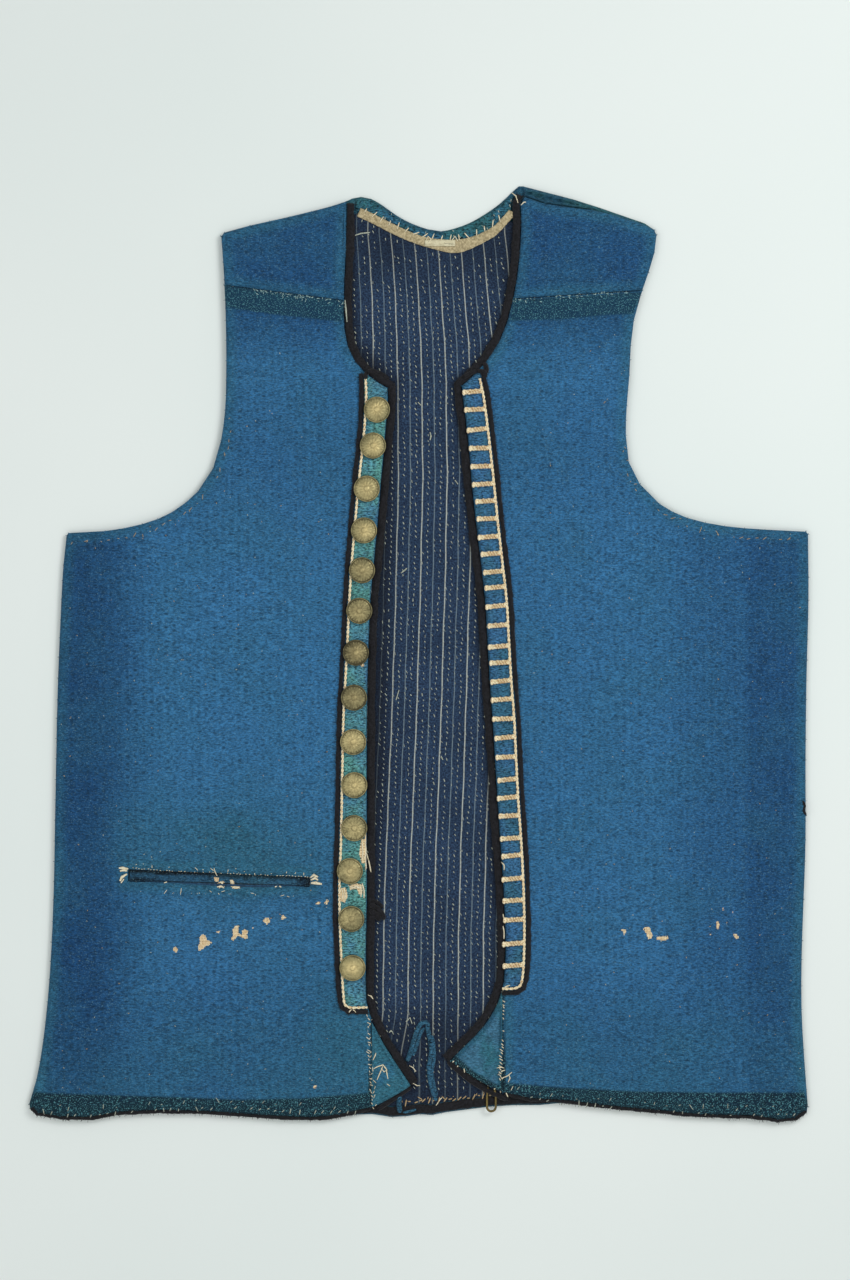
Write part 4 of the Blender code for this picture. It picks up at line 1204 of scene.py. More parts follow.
class Ground:
    """The uppermost cloth at any spot, for what lies on it."""

    def __init__(self) -> None:
        """Start with the bare surface."""
        self.layers: list[BVHTree] = []

    def lay(self, piece: bpy.types.Object) -> None:
        """Add a piece of cloth.

        Args:
            piece: The cloth.
        """
        bm = bmesh.new()
        bm.from_mesh(piece.data)
        self.layers.append(BVHTree.FromBMesh(bm))
        bm.free()

    def height(self, x: float, y: float) -> float:
        """Measure the uppermost cloth.

        Args:
            x: Place across, in mm.
            y: Place up, in mm.

        Returns:
            Its height in mm, 0 on the bare floor.
        """
        start = Vector((x * MM, y * MM, ABOVE_ALL * MM))
        hits = [layer.ray_cast(start, -UP)[0] for layer in self.layers]
        return max([hit.z / MM for hit in hits if hit is not None], default=0.0)


MATERIALS = Materials()
STRIPES = Stripes()
GROUND = Ground()


@dataclass
class ThreadWork:
    """Threads that are sewn or laid together, as one piece.

    The arch of a stitch has a row for each of its points: how far along from its middle,
    as a share of half its length, and its height and radius, as shares of the thread's.
    """

    name: str
    finish: Finish
    sides: int = 1
    seed: int = 1
    strands: list[list[tuple[float, float, float, float]]] = field(default_factory=list)
    nodes: tuple[str, ...] = ()
    arch: tuple[tuple[float, float, float], ...] = (
        (-1.0, -0.5, 0.45), (-0.55, 0.55, 1.0), (0.55, 0.55, 1.0), (1.0, -0.5, 0.45),
    )

    def __post_init__(self) -> None:
        """Seed the hand's unevenness."""
        self.chance = random.Random(self.seed)

    def strand(self, points: Iterable[tuple[float, float, float, float]]) -> None:
        """Add a strand through points of x, y, z and radius."""
        self.strands.append(list(points))

    def lie(self, route: Route, radius: float, lift: float = 0.0) -> None:
        """Lay a loose thread on whatever cloth is there.

        Args:
            route: Its course, in mm.
            radius: Its radius, in mm.
            lift: How far it is raised, or sunk where negative, in mm.
        """
        count = len(route)
        rows = []
        for k, (x, y) in enumerate(route):
            thin = 0.55 if k in (0, count - 1) else 1.0
            rows.append((x, y, GROUND.height(x, y) + 0.7 * radius + lift, radius * thin))
        self.strand(rows)

    def stitch(self, x: float, y: float, heading: float, length: float, radius: float) -> None:
        """Sew one stitch whose ends sink into the cloth.

        Args:
            x: Place across of its middle, in mm.
            y: Place up of its middle, in mm.
            heading: Its direction, in radians.
            length: Its length, in mm.
            radius: Radius of the thread, in mm.
        """
        dx, dy = math.cos(heading) * length / 2, math.sin(heading) * length / 2
        top = GROUND.height(x, y)
        self.strand(
            (x + dx * at, y + dy * at, top + rise * radius, radius * thick)
            for at, rise, thick in self.arch
        )

    def row(
        self, route: Route, pitch: float, length: float, lean: float, radius: float,
        spread: float = 0.15, skip: float = 0.0,
    ) -> None:
        """Sew a row of stitches.

        Args:
            route: The seam, in mm.
            pitch: Distance from stitch to stitch.
            length: Length of a stitch.
            lean: Angle of the stitches to the seam, in radians.
            radius: Radius of the thread.
            spread: How unevenly the row is sewn, as a share.
            skip: Share of stitches that are lost.
        """
        for x, y, heading in walk(route, pitch):
            wobble = self.chance.gauss(0.0, spread)
            if self.chance.random() < skip:
                continue
            self.stitch(
                x + self.chance.gauss(0.0, spread), y + self.chance.gauss(0.0, spread),
                heading + lean + 1.2 * wobble, length * (1.0 + wobble), radius,
            )

    def twist(
        self, route: Route, level: float, plies: int, offset: Spot, radius: float, turn: float,
    ) -> None:
        """Lay a cord of plies that wind round each other along a route.

        Args:
            route: Middle line, evenly spaced, in mm.
            level: Height of the middle line.
            plies: How many plies.
            offset: How far the plies wind out, across and up.
            radius: Radius of a ply.
            turn: Length of one turn.
        """
        sides = beside(route, 1.0)
        far = np.cumsum([0.0, *[math.dist(a, b) for a, b in zip(route, route[1:])]])
        for ply in range(plies):
            rows = []
            for (x, y), (sx, sy), s in zip(route, sides, far):
                angle = 2 * math.pi * (s / turn + ply / plies)
                out = offset[0] * math.cos(angle) + 0.12 * noise.noise((s / 5.0, x, y))
                rows.append((
                    x + (sx - x) * out, y + (sy - y) * out,
                    level + offset[1] * math.sin(angle), radius,
                ))
            self.strand(rows)

    def build(self) -> bpy.types.Object:
        """Build all the strands as one mesh of closed tubes.

        Returns:
            The piece.
        """
        data = bpy.data.curves.new(self.name, "CURVE")
        data.dimensions = "3D"
        data.bevel_depth = MM
        data.bevel_resolution = self.sides
        data.use_fill_caps = True
        for rows in self.strands:
            spline = data.splines.new("POLY")
            spline.points.add(len(rows) - 1)
            for point, (x, y, z, radius) in zip(spline.points, rows):
                point.co = (x * MM, y * MM, z * MM, 1.0)
                point.radius = radius
        carrier = placed(self.name + "_route", data)
        bpy.context.view_layer.update()
        evaluated = carrier.evaluated_get(bpy.context.evaluated_depsgraph_get())
        mesh = bpy.data.meshes.new_from_object(evaluated)
        bpy.data.objects.remove(carrier)
        mesh.name = self.name
        mesh.shade_smooth()
        mesh.materials.clear()
        mesh.materials.append(MATERIALS.get(self.finish))
        piece = placed(self.name, mesh)
        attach(piece, BODY)
        if self.nodes:
            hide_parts(*self.nodes)
        log.info("threads %s: %d strands", self.name, len(self.strands))
        return piece


class Panels:
    """The cloths of the vest, from the back up to the plackets."""

    def build(self) -> dict[str, bpy.types.Object]:
        """Build every cloth.

        Returns:
            The pieces by name.
        """
        placket = "placket_{0} placket_braid_{0} edge_binding_{0}"
        right = (*placket.format("right").split(), "placket_cord_right", "pocket_tack_side",
                 "pocket_tack_front")
        left = (*placket.format("left").split(), "buttonhole_bars")
        lining = Quilting(pitch=8.0, stitch=3.45, ridge=0.25, sink=0.3, wander=0.3,
                          reach=(0.8, 1.2), seed=9)
        pieces = [
            ClothPiece("back_panel", BACK_WOOL, Nap.FULLED, "back_cloth",
                       window=(60.0, 125.0, 282.0, 320.0), step=1.6),
            ClothPiece("back_lining", NAVY_LINING, Nap.LINED, "lining", soft=0.2,
                       window=(-58.0, 80.0, -400.0, 400.0), quilting=lining),
            ClothPiece("neck_facing", TEAL_FACING, Nap.FULLED, "facing", soft=0.2),
            ClothPiece("front_right", BLUE_WOOL, Nap.QUILTED, "front_with_pocket",
                       slit=-130.0, covers=right),
            ClothPiece("front_left", BLUE_WOOL, Nap.QUILTED, "front_with_bars", covers=left),
            ClothPiece("shoulder_right", BLUE_WOOL, Nap.QUILTED, "shoulder_over_pocket"),
            ClothPiece("shoulder_left", BLUE_WOOL, Nap.QUILTED, "shoulder_over_bars"),
            ClothPiece("gusset_right", TEAL_GUSSET, Nap.FULLED, "gusset_under_buttons", step=1.0),
            ClothPiece("gusset_left", BLUE_GUSSET, Nap.FULLED, "gusset_under_bars", step=1.0),
            ClothPiece("placket_right", TEAL_STRIP, Nap.WORN, "placket_teal", soft=0.2, step=1.0),
            ClothPiece("placket_left", BLUE_STRIP, Nap.FULLED, "placket_blue", soft=0.2, step=1.0),
            ClothPiece("pocket_welt", WELT_WOOL, Nap.FULLED, "welt", soft=0.2),
        ]
        for node in ("edge_binding_right", "edge_binding_left", "placket_braid_right",
                     "placket_braid_left", "hem_binding_back", "hem_binding_right",
                     "hem_binding_left"):
            pieces.append(ClothPiece(node, BLACK_BRAID, Nap.MATTED, node + "_wool", whole=True,
                                     soft=0.35, step=1.5, fuzz=0.55))
        pieces += [
            ClothPiece("neck_tape", FLAX_TAPE, Nap.RIBBED, "tape", whole=True, soft=0.25,
                       step=0.9),
            ClothPiece("neck_label", BARE_LABEL, Nap.RIBBED, "label_bare", whole=True, soft=0.2,
                       step=1.2),
        ]
        made = {}
        for piece in pieces:
            made[piece.name] = piece.build()
            GROUND.lay(made[piece.name])
            log.info("cloth %s: %d faces", piece.name, len(made[piece.name].data.polygons))
        return made


# Middle lines of the braids, in mm, before the rest pose moves them
BRAID_RIGHT = (
    (-37.5, 182.6), (-36.9, 165.1), (-38.7, 139.1), (-41.6, 113.1), (-43.9, 87.1), (-46.1, 61.1),
    (-47.8, 35.1), (-49.0, 9.1), (-50.4, -16.9), (-51.7, -42.9), (-52.5, -81.9), (-53.2, -120.9),
    (-54.2, -150.2), (-53.9, -176.2), (-52.8, -202.2), (-51.6, -222.6), (-50.2, -229.4),
    (-45.4, -232.3), (-39.6, -232.6), (-32.7, -232.4),
)
BRAID_LEFT = (
    (41.7, 183.2), (43.4, 176.0), (45.5, 165.1), (48.8, 139.1), (51.7, 113.1), (54.3, 87.1),
    (57.2, 61.1), (60.1, 35.1), (61.6, 9.1), (63.1, -16.9), (65.1, -42.9), (66.3, -68.9),
    (67.7, -94.9), (69.5, -120.9), (70.9, -146.9), (71.6, -172.9), (71.4, -195.7),
    (70.4, -210.4), (68.3, -217.2), (63.6, -219.9), (60.0, -220.3), (54.2, -220.4),
)


@dataclass
class Cords:
    """The twisted cords inside the braids and the worked bars of the left front.

    A twist winds its plies so far out, across and up. The cords reach up to their top, and
    the bars stand on the left one above its foot. The tip, the knot that ends a bar, has a
    row for each point: across, up, its height over the cords' level and its radius. The
    sizes are in mm.
    """

    inset: float = 2.9
    step: float = 0.55
    rise: float = 0.5
    turn: float = 6.0
    right_out: Spot = (0.46, 0.45)
    right_ply: float = 0.47
    left_out: Spot = (0.48, 0.45)
    left_ply: float = 0.48
    top: float = 180.5
    foot: float = -206.0
    bar_length: float = 12.6
    bar_steps: int = 22
    bar_rise: float = 0.6
    bar_turn: float = 5.4
    bar_out: Spot = (1.1, 0.75)
    bar_ply: float = 0.62
    winding_rise: float = 0.62
    winding_out: Spot = (1.45, 1.34)
    winding_ply: float = 0.25
    tip: tuple[tuple[float, float, float, float], ...] = (
        (0.2, 1.5, 0.5, 0.7), (-0.2, 0.7, 0.9, 1.0), (-0.2, -0.8, 0.9, 1.0),
        (0.1, -1.6, 0.5, 0.7),
    )
    bar_heights: tuple[float, ...] = (
        171.0, 159.2, 146.6, 133.9, 122.2, 110.8, 99.8, 88.1, 76.7, 65.7, 54.0, 43.9, 31.9, 19.2,
        5.5, -5.2, -16.9, -28.9, -41.9, -53.6, -66.6, -80.9, -92.6, -104.7, -119.3, -130.3,
        -145.3, -159.6, -172.2, -187.5, -201.8,
    )

    def line(self, braid: Route, side: int) -> list[Spot]:
        """Find a cord's middle line, below the placket's upper end.

        Args:
            braid: The braid's middle line, in mm, before the rest pose moves it.
            side: 1 where the cord lies left of it, -1 where it lies right.

        Returns:
            The cord's line, evenly spaced, in mm.
        """
        route = [(x + REST_SHIFT[0], y + REST_SHIFT[1]) for x, y in braid]
        moved = beside(rounded(route, 2.0), side * self.inset)
        moved = [point for point in moved if point[1] < self.top]
        return [(x, y) for x, y, _ in walk(moved, self.step)]

    def build(self) -> None:
        """Build both cords and the bars."""
        plain = ThreadWork("cord_under_buttons", CREAM_CORD, seed=4, nodes=("placket_cord_right",))
        level = CORD_LEVEL + self.rise
        line = self.line(BRAID_RIGHT, 1)
        plain.twist(line, level, 2, self.right_out, self.right_ply, self.turn)
        plain.build()
        comb = ThreadWork("cord_with_bars", CREAM_CORD, seed=6, nodes=("buttonhole_bars",))
        line = self.line(BRAID_LEFT, -1)
        comb.twist(line, level, 2, self.left_out, self.left_ply, self.turn)
        tan = ThreadWork("bar_winding", RUST_THREAD, seed=7)
        upright = [point for point in line if point[1] > self.foot]
        heights = [y for _, y in upright][::-1]
        across = [x for x, _ in upright][::-1]
        for height in self.bar_heights:
            y = height + REST_SHIFT[1]
            x = float(np.interp(y, heights, across))
            fall = comb.chance.gauss(0.9, 0.35)
            length = self.bar_length + comb.chance.gauss(0.0, 0.35)
            route = []
            for k in range(self.bar_steps + 1):
                sag = fall * k / self.bar_steps
                route.append((x - length * k / self.bar_steps, y - sag + 0.15 * math.sin(k)))
            comb.twist(route, CORD_LEVEL + self.bar_rise, 3, self.bar_out, self.bar_ply,
                       self.bar_turn)
            # The tan winding leaves a bar's two ends bare
            tan.twist(route[3:-6], CORD_LEVEL + self.winding_rise, 3, self.winding_out,
                      self.winding_ply, self.bar_turn)
            tip_x, tip_y = route[-1]
            comb.strand(
                (tip_x + across_by, tip_y + up_by, CORD_LEVEL + rise, radius)
                for across_by, up_by, rise, radius in self.tip
            )
        comb.build()
        tan.build()


@dataclass
class Buttons:
    """Domed cast buttons, each with a rim, a ring of beads and a petalled middle.

    The profile is that of the solids, and the width is the share of it that shows. Each
    ring has its radius and half width, and the relief the heights of bead, petal and
    groove, all in mm. Grime, polish and crispness have a value for each button.
    """

    count: int = 14
    width: float = 0.97
    bead_ring: Spot = (6.5, 0.55)
    rim_groove: Spot = (7.5, 0.3)
    boss_groove: Spot = (2.15, 0.28)
    petal_ring: Spot = (3.7, 1.2)
    relief: tuple[float, float, float] = (0.26, 0.34, 0.16)
    rubbed: float = 4.6
    beads: int = 24
    petals: int = 12
    around: int = 72
    grime: tuple[float, ...] = (
        0.0, 0.02, 0.04, 0.08, 0.24, 0.24, 0.46, 0.3, 0.09, 0.07, 0.1, 0.07, 0.12, -0.07,
    )
    polish: tuple[float, ...] = (
        0.62, 0.5, 0.44, 0.54, 0.3, 0.22, 0.22, 0.3, 0.4, 0.32, 0.2, 0.44, 0.14, 0.55,
    )
    crisp: tuple[float, ...] = (
        1.0, 1.0, 0.9, 0.9, 0.6, 0.6, 0.6, 0.6, 0.9, 0.9, 0.85, 0.5, 0.45, 0.5,
    )
    profile: tuple[Spot, ...] = (
        (0.0, 0.05), (2.3, 0.05), (2.4, 1.2), (2.8, 1.5), (5.5, 1.58), (8.3, 1.68), (8.75, 1.85),
        (8.8, 2.15), (8.65, 2.5), (8.3, 2.72), (7.95, 2.66), (7.7, 2.42), (7.45, 2.28),
        (7.1, 2.38), (6.8, 2.5), (6.5, 2.58), (6.2, 2.62), (5.9, 2.64), (5.5, 2.72), (5.1, 2.84),
        (4.7, 2.96), (4.3, 3.06), (3.9, 3.14), (3.5, 3.2), (3.1, 3.25), (2.7, 3.28), (2.3, 3.3),
        (2.0, 3.34), (1.7, 3.52), (1.3, 3.72), (0.8, 3.84), (0.4, 3.88), (0.0, 3.9),
    )

    def build(self) -> None:
        """Build every button on its solid."""
        chance = random.Random(12)
        for k in range(self.count):
            node = f"button_{k + 1:02d}"
            low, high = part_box(node)
            self.cast(node, (low + high) / 2, low.z, chance,
                      (self.grime[k], self.crisp[k], self.polish[k]))
        log.info("buttons: %d", self.count)

    def cast(
        self, node: str, middle: Vector, level: float, chance: random.Random,
        wear: tuple[float, float, float],
    ) -> None:
        """Turn one button, raise its ornament and set it on its shank.

        Args:
            node: The button's node.
            middle: Its middle, in metres.
            level: The height of its foot, in metres.
            chance: Gives its turn and its lean.
            wear: Its grime, crispness and polish.
        """
        bm = bmesh.new()
        verts = [bm.verts.new((self.width * r * MM, 0.0, z * MM)) for r, z in self.profile]
        edges = [bm.edges.new(pair) for pair in zip(verts, verts[1:])]
        bmesh.ops.spin(
            bm, geom=[*verts, *edges], cent=(0, 0, 0), axis=(0, 0, 1),
            angle=2 * math.pi, steps=self.around, use_merge=True,
        )
        bmesh.ops.remove_doubles(bm, verts=bm.verts, dist=0.002 * MM)
        bmesh.ops.recalc_face_normals(bm, faces=bm.faces)
        grime, crisp, polish = wear
        pit = bm.verts.layers.float.new("pit")
        rub = bm.verts.layers.float.new("rub")
        phase = chance.uniform(0.0, math.pi)
        for vert in bm.verts:
            r = math.hypot(vert.co.x, vert.co.y) / MM
            turn = math.atan2(vert.co.y, vert.co.x)
            # The flank and foot below the rim are evenly darkened all round
            if vert.co.z < 2.0 * MM:
                vert[pit] = 0.5
                continue
            bead = crisp * math.cos(self.beads * turn) * swell(r, self.bead_ring)
            groove = swell(r, self.rim_groove) + 0.8 * crisp * swell(r, self.boss_groove)
            petal = abs(math.cos(self.petals / 2 * turn)) ** 0.7 - 0.66
            petal *= crisp * swell(r, self.petal_ring, 4)
            rise = self.relief[0] * bead + self.relief[1] * petal - self.relief[2] * groove
            vert.co.z += rise * MM
            vert[pit] = 0.5 * groove - 0.5 * bead - 0.42 * petal + 0.1 + grime
            vert[rub] = polish * swell(r, (0.0, self.rubbed))
        lean = Matrix.Rotation(chance.gauss(0.0, 0.02), 3, "X")
        lean = lean @ Matrix.Rotation(chance.gauss(0.0, 0.02), 3, "Y")
        turned = lean @ Matrix.Rotation(phase, 3, "Z")
        bmesh.ops.rotate(bm, verts=bm.verts, cent=(0, 0, 0), matrix=turned)
        bmesh.ops.translate(bm, verts=bm.verts, vec=(middle.x, middle.y, level + 0.05 * MM))
        mesh = bpy.data.meshes.new(node + "_cast")
        bm.to_mesh(mesh)
        bm.free()
        mesh.shade_smooth()
        mesh.materials.append(MATERIALS.get(PEWTER))
        piece = placed(node + "_cast", mesh)
        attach(piece, BODY)
        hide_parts(node)


class Needlework:
    """The visible sewing: quilting stitches, seams, hems, tacks and loose ends."""

    def build(self) -> None:
        """Sew everything."""
        for sew in (self.lining, self.neck, self.hems, self.foot, self.gussets, self.frays,
                    self.vent, self.bound_ends, self.pocket, self.lip, self.armholes,
                    self.selvedges):
            sew()
        for finish, seed in ((GREY_THREAD, 29), (TAN_THREAD, 28)):
            self.flecks(finish, seed)

    @staticmethod
    def lining() -> None:
        """Sew the running stitches of the lining, with their knots and loose ends.

        Each stripe has two rows: their place from it as a share of the spacing, the share
        of stitches that still hold, and how thick they are.
        """
        work = ThreadWork("lining_stitches", GREY_THREAD, seed=21)
        chance = work.chance
        rows = ((0.5, 0.88, 1.0), (0.06, 0.4, 0.7))
        for column, (off, keep, thick) in product(range(-8, 9), rows):
            phase = chance.uniform(0.0, 3.4)
            for k in range(170):
                y = -283.0 + 3.45 * k + phase + chance.gauss(0.0, 0.25)
                x = STRIPES.place(column + off, y)
                likely = keep * (1.0 - 0.55 * smooth((y - 225.0) / 25.0))
                if chance.random() < likely and Needlework.on_lining(x, y):
                    work.stitch(x + chance.gauss(0.0, 0.3), y,
                                math.radians(chance.gauss(112.0, 14.0)),
                                chance.uniform(1.1, 2.3), thick * chance.uniform(0.15, 0.33))
        for route in (
            ((355, 235), (361, 233), (370, 232)), ((418, 402), (421, 405)),
            ((430, 432), (431, 436), (430, 440)), ((401, 573), (405, 570), (407, 568)),
            ((389, 1033), (391, 1031), (393, 1033)), ((345, 300), (346, 310), (347, 322)),
            ((455, 480), (458, 484)), ((399, 690), (396, 700)), ((441, 756), (443, 760)),
            ((406, 1022), (410, 1018), (412, 1024)),
        ):
            work.lie(spots(*route), 0.55)
        work.build()

    @staticmethod
    def on_lining(x: float, y: float) -> bool:
        """Tell whether the lining is the uppermost cloth at a spot."""
        height = GROUND.height(x, y)
        return LINING_TOP - 0.6 < height < LINING_TOP + 0.35

    @staticmethod
    def neck() -> None:
        """Sew the tape down on the facing with slanted whip stitches."""
        work = ThreadWork("neck_stitches", CREAM_THREAD, seed=22)
        tape = spots((359, 213), (370, 219), (382, 226), (400, 233), (420, 240), (440, 244),
                     (460, 243), (478, 238), (498, 227), (508, 219))
        upper = beside(rounded(tape, 3.0), 3.0)
        for x, y, heading in walk(upper, 5.9):
            lean = heading + math.radians(work.chance.gauss(80.0, 22.0))
            reach = work.chance.uniform(3.0, 4.8)
            work.lie([
                (x + math.cos(lean) * reach * at, y + math.sin(lean) * reach * at)
                for at in (-0.25, 0.1, 0.45, 0.75)
            ], 0.4)
        for route in (
            ((426, 240), (428, 236), (431, 239), (429, 242)),
            ((452, 240), (455, 236), (458, 241)), ((512, 192), (516, 196), (518, 203)),
            ((521, 205), (524, 202), (526, 202)),
        ):
            work.lie(spots(*route), 0.45, lift=0.1)
        work.build()

    @staticmethod
    def hems() -> None:
        """Sew the whip stitches that hold the fronts' hems."""
        work = ThreadWork("hem_stitches", GREY_THREAD, seed=23)
        right = spots((40, 1111), (70, 1115), (110, 1114), (160, 1109), (240, 1108), (300, 1111),
                      (360, 1113))
        left = spots((512, 1094), (560, 1103), (620, 1108), (680, 1112), (740, 1116), (795, 1114))
        for route in (right, left):
            work.row(route, 5.2, 2.8, math.radians(58.0), 0.27, spread=0.35, skip=0.25)
            work.row(beside(route, 4.5), 7.5, 2.0, math.radians(40.0), 0.2, spread=0.8, skip=0.4)
        work.build()

    @staticmethod
    def foot() -> None:
        """Sew the tan stitches along the back's hem binding."""
        work = ThreadWork("foot_stitches", TAN_THREAD, seed=33)
        low = spots((398, 1104), (420, 1102), (445, 1100), (470, 1098), (492, 1096))
        work.row(low, 3.2, 2.8, math.radians(25.0), 0.42, spread=0.5)
        work.row(beside(low, 1.6), 4.4, 1.6, math.radians(70.0), 0.3, spread=0.6, skip=0.3)
        work.build()

    @staticmethod
    def frays() -> None:
        """Lay the bared ends that hang out of the worn placket."""
        work = ThreadWork("placket_frays", CREAM_THREAD, seed=36)
        for route in (
            ((366, 852), (369, 862), (371, 872)), ((364, 856), (366, 864), (366, 869)),
            ((362, 842), (363, 852), (362, 860)), ((365, 841), (366, 850), (365, 858)),
            ((360, 884), (361, 890), (361, 897)), ((362, 883), (364, 890), (364, 898)),
            ((348, 885), (355, 888), (362, 886)), ((350, 890), (356, 886), (361, 889)),
            ((341, 888), (343, 893), (342, 900)), ((344, 888), (345, 894), (345, 901)),
            ((349, 1012), (352, 1009), (356, 1012)), ((368, 995), (371, 996), (373, 999)),
            ((503, 926), (504, 932), (504, 939)), ((503, 914), (504, 920)),
            ((502, 992), (505, 987), (510, 985)), ((501, 862), (504, 865), (504, 870)),
        ):
            work.lie(rounded(spots(*route), 1.5), 0.42)
        work.build()

    @staticmethod
    def vent() -> None:
        """Roll the turned edges of the opening at the lining's foot."""
        work = ThreadWork("vent_rolls", VENT_WOOL, sides=2,
                          nodes=("vent_edge_right", "vent_edge_left"))
        for route, radius in (
            (((429, 1027), (426, 1023), (421, 1024), (417, 1031), (414, 1040), (411, 1051),
              (407, 1062)), 1.6),
            (((424, 1028), (420, 1035), (417, 1045), (413, 1056)), 1.2),
            (((427, 1026), (429, 1035), (431, 1045), (431, 1056), (429, 1066), (430, 1079),
              (432, 1089), (436, 1101)), 1.6),
            (((432, 1036), (434, 1048), (434, 1060), (432, 1072), (434, 1086), (437, 1096)), 1.2),
            (((400, 1096), (399, 1104), (400, 1113)), 1.7),
            (((403, 1113), (409, 1112), (416, 1110)), 0.9),
        ):
            work.lie(rounded(spots(*route), 1.6), radius, lift=-0.45 * radius)
        work.build()

    @staticmethod
    def bound_ends() -> None:
        """Lay the black wool that closes the braids' upper ends and the gussets' feet."""
        work = ThreadWork("bound_ends", BLACK_BRAID, sides=2, seed=35)
        for route, radius in (
            (((486, 377), (484, 372), (477, 371), (469, 374), (464, 378)), 1.5),
            (((487, 373), (486, 367), (484, 362)), 1.6),
            (((366, 380), (366, 373), (372, 371), (380, 373), (389, 379)), 1.4),
            (((448, 1062), (456, 1069), (468, 1079), (482, 1088), (498, 1096), (508, 1100)), 1.7),
            (((452, 1063), (470, 1078), (490, 1090)), 1.3),
            (((411, 1087), (400, 1095), (388, 1103), (378, 1110)), 1.5),
            (((803, 801), (805, 806), (804, 811), (807, 816)), 0.9),
            (((370, 904), (376, 908), (382, 914), (384, 920)), 1.7),
            (((370, 910), (375, 914), (380, 921)), 1.8),
            (((372, 900), (378, 903), (383, 908)), 1.2),
        ):
            work.lie(rounded(spots(*route), 1.8), radius, lift=-0.35 * radius)
        work.build()

    @staticmethod
    def gussets() -> None:
        """Sew the gussets' seams, with the loose ends that stand off them."""
        work = ThreadWork("gusset_stitches", CREAM_THREAD, seed=24)
        seam = spots((368, 1014), (368, 1050), (370, 1080), (373, 1108))
        work.row(seam, 2.4, 2.2, math.radians(42.0), 0.26, spread=0.35)
        work.row(beside(seam, 1.6), 2.9, 2.0, math.radians(-42.0), 0.22, spread=0.35, skip=0.25)
        seam = spots((504, 1000), (503, 1030), (501, 1060), (500, 1082))
        work.row(seam, 2.1, 2.4, math.radians(52.0), 0.3, spread=0.2)
        edge = spots((450, 1059), (462, 1070), (476, 1080), (490, 1087), (505, 1094), (512, 1095))
        work.row(edge, 4.6, 2.6, math.radians(-70.0), 0.36, spread=0.3)
        for route in (
            ((372, 1070), (377, 1067), (383, 1065), (386, 1068)),
            ((383, 1066), (380, 1073), (377, 1080)), ((386, 1068), (387, 1074), (388, 1079)),
            ((381, 1068), (384, 1072), (387, 1070), (384, 1067)),
            ((373, 1060), (375, 1056), (376, 1053)), ((387, 1084), (390, 1086)),
            ((373, 1080), (376, 1083)), ((497, 1068), (501, 1067), (504, 1068)),
            ((498, 1075), (502, 1071), (505, 1070)),
            ((502, 1078), (507, 1076), (512, 1072)), ((508, 1082), (510, 1078), (509, 1075)),
            ((500, 1075), (502, 1079), (504, 1077)), ((511, 1090), (513, 1086)),
            ((432, 1047), (433, 1044), (435, 1049)), ((413, 1083), (417, 1086), (420, 1086)),
            ((409, 1066), (413, 1068), (416, 1072)), ((427, 1069), (432, 1076), (434, 1072)),
            ((436, 1106), (440, 1100), (442, 1098)),
        ):
            work.lie(spots(*route), 0.4, lift=0.1)
        work.build()

    @staticmethod
    def pocket() -> None:
        """Sew the line above the pocket and the tacks at its ends."""
        work = ThreadWork("pocket_stitches", CREAM_THREAD, seed=25,
                          nodes=("pocket_tack_front", "pocket_tack_side"))
        line = spots((131, 867), (140, 868), (152, 869), (180, 871), (215, 872), (250, 874),
                     (310, 876))
        work.row(beside(line, -0.5), 2.0, 0.9, 0.0, 0.22, spread=0.2, skip=0.08)
        work.row(beside(line, 1.4), 5.5, 1.3, math.radians(60.0), 0.22, spread=0.6, skip=0.3)
        lower = spots((124, 888), (135, 890), (150, 891), (185, 892), (240, 894), (310, 895))
        work.row(lower, 4.2, 1.8, math.radians(-30.0), 0.18, spread=0.7, skip=0.35)
        for route, radius in (
            (((119, 868), (123, 868), (128, 869)), 1.0),
            (((120, 871), (124, 870), (127, 871)), 0.9),
            (((120, 881), (122, 877), (127, 874)), 1.0), (((121, 883), (124, 879)), 0.7),
            (((310, 878), (314, 875), (318, 877)), 1.0),
            (((311, 880), (315, 878), (318, 880)), 0.9),
            (((311, 883), (316, 883), (322, 884)), 1.1),
            (((218, 884), (221, 882), (223, 885)), 0.7),
            (((217, 887), (221, 886), (224, 888)), 0.6),
            (((214, 868), (215, 872), (217, 876)), 0.35),
            (((275, 887), (278, 886), (281, 887)), 0.7),
            (((231, 880), (232, 884), (235, 887)), 0.5),
            (((232, 888), (236, 887), (240, 888)), 0.6), (((164, 883), (167, 882)), 0.6),
        ):
            work.lie(spots(*route), radius)
        work.build()

    @staticmethod
    def lip() -> None:
        """Lay the welt's rolled lip over the lower edge of its slit."""
        work = ThreadWork("pocket_lip", LIP_WOOL, seed=34)
        edge = spots((145, 882), (174, 883), (222, 885), (254, 886), (286, 886), (304, 887))
        work.lie(edge, 0.8)
        work.build()

    @staticmethod
    def armholes() -> None:
        """Sew the faded running stitches beside the armholes."""
        work = ThreadWork("armhole_stitches", TAN_THREAD, seed=26)
        right = spots((230, 420), (229, 440), (224, 460), (209, 489), (193, 507), (173, 520),
                      (150, 531), (122, 538), (95, 541), (70, 539))
        left = spots((622, 440), (623, 458), (629, 480), (646, 502), (668, 515), (695, 529),
                     (730, 537), (770, 539), (800, 539))
        for route in (right, left):
            work.row(rounded(route, 6.0), 5.2, 2.2, 0.0, 0.2, spread=0.4, skip=0.25)
            work.row(beside(route, 2.0), 9.0, 1.6, 0.7, 0.18, spread=0.9, skip=0.4)
        work.build()

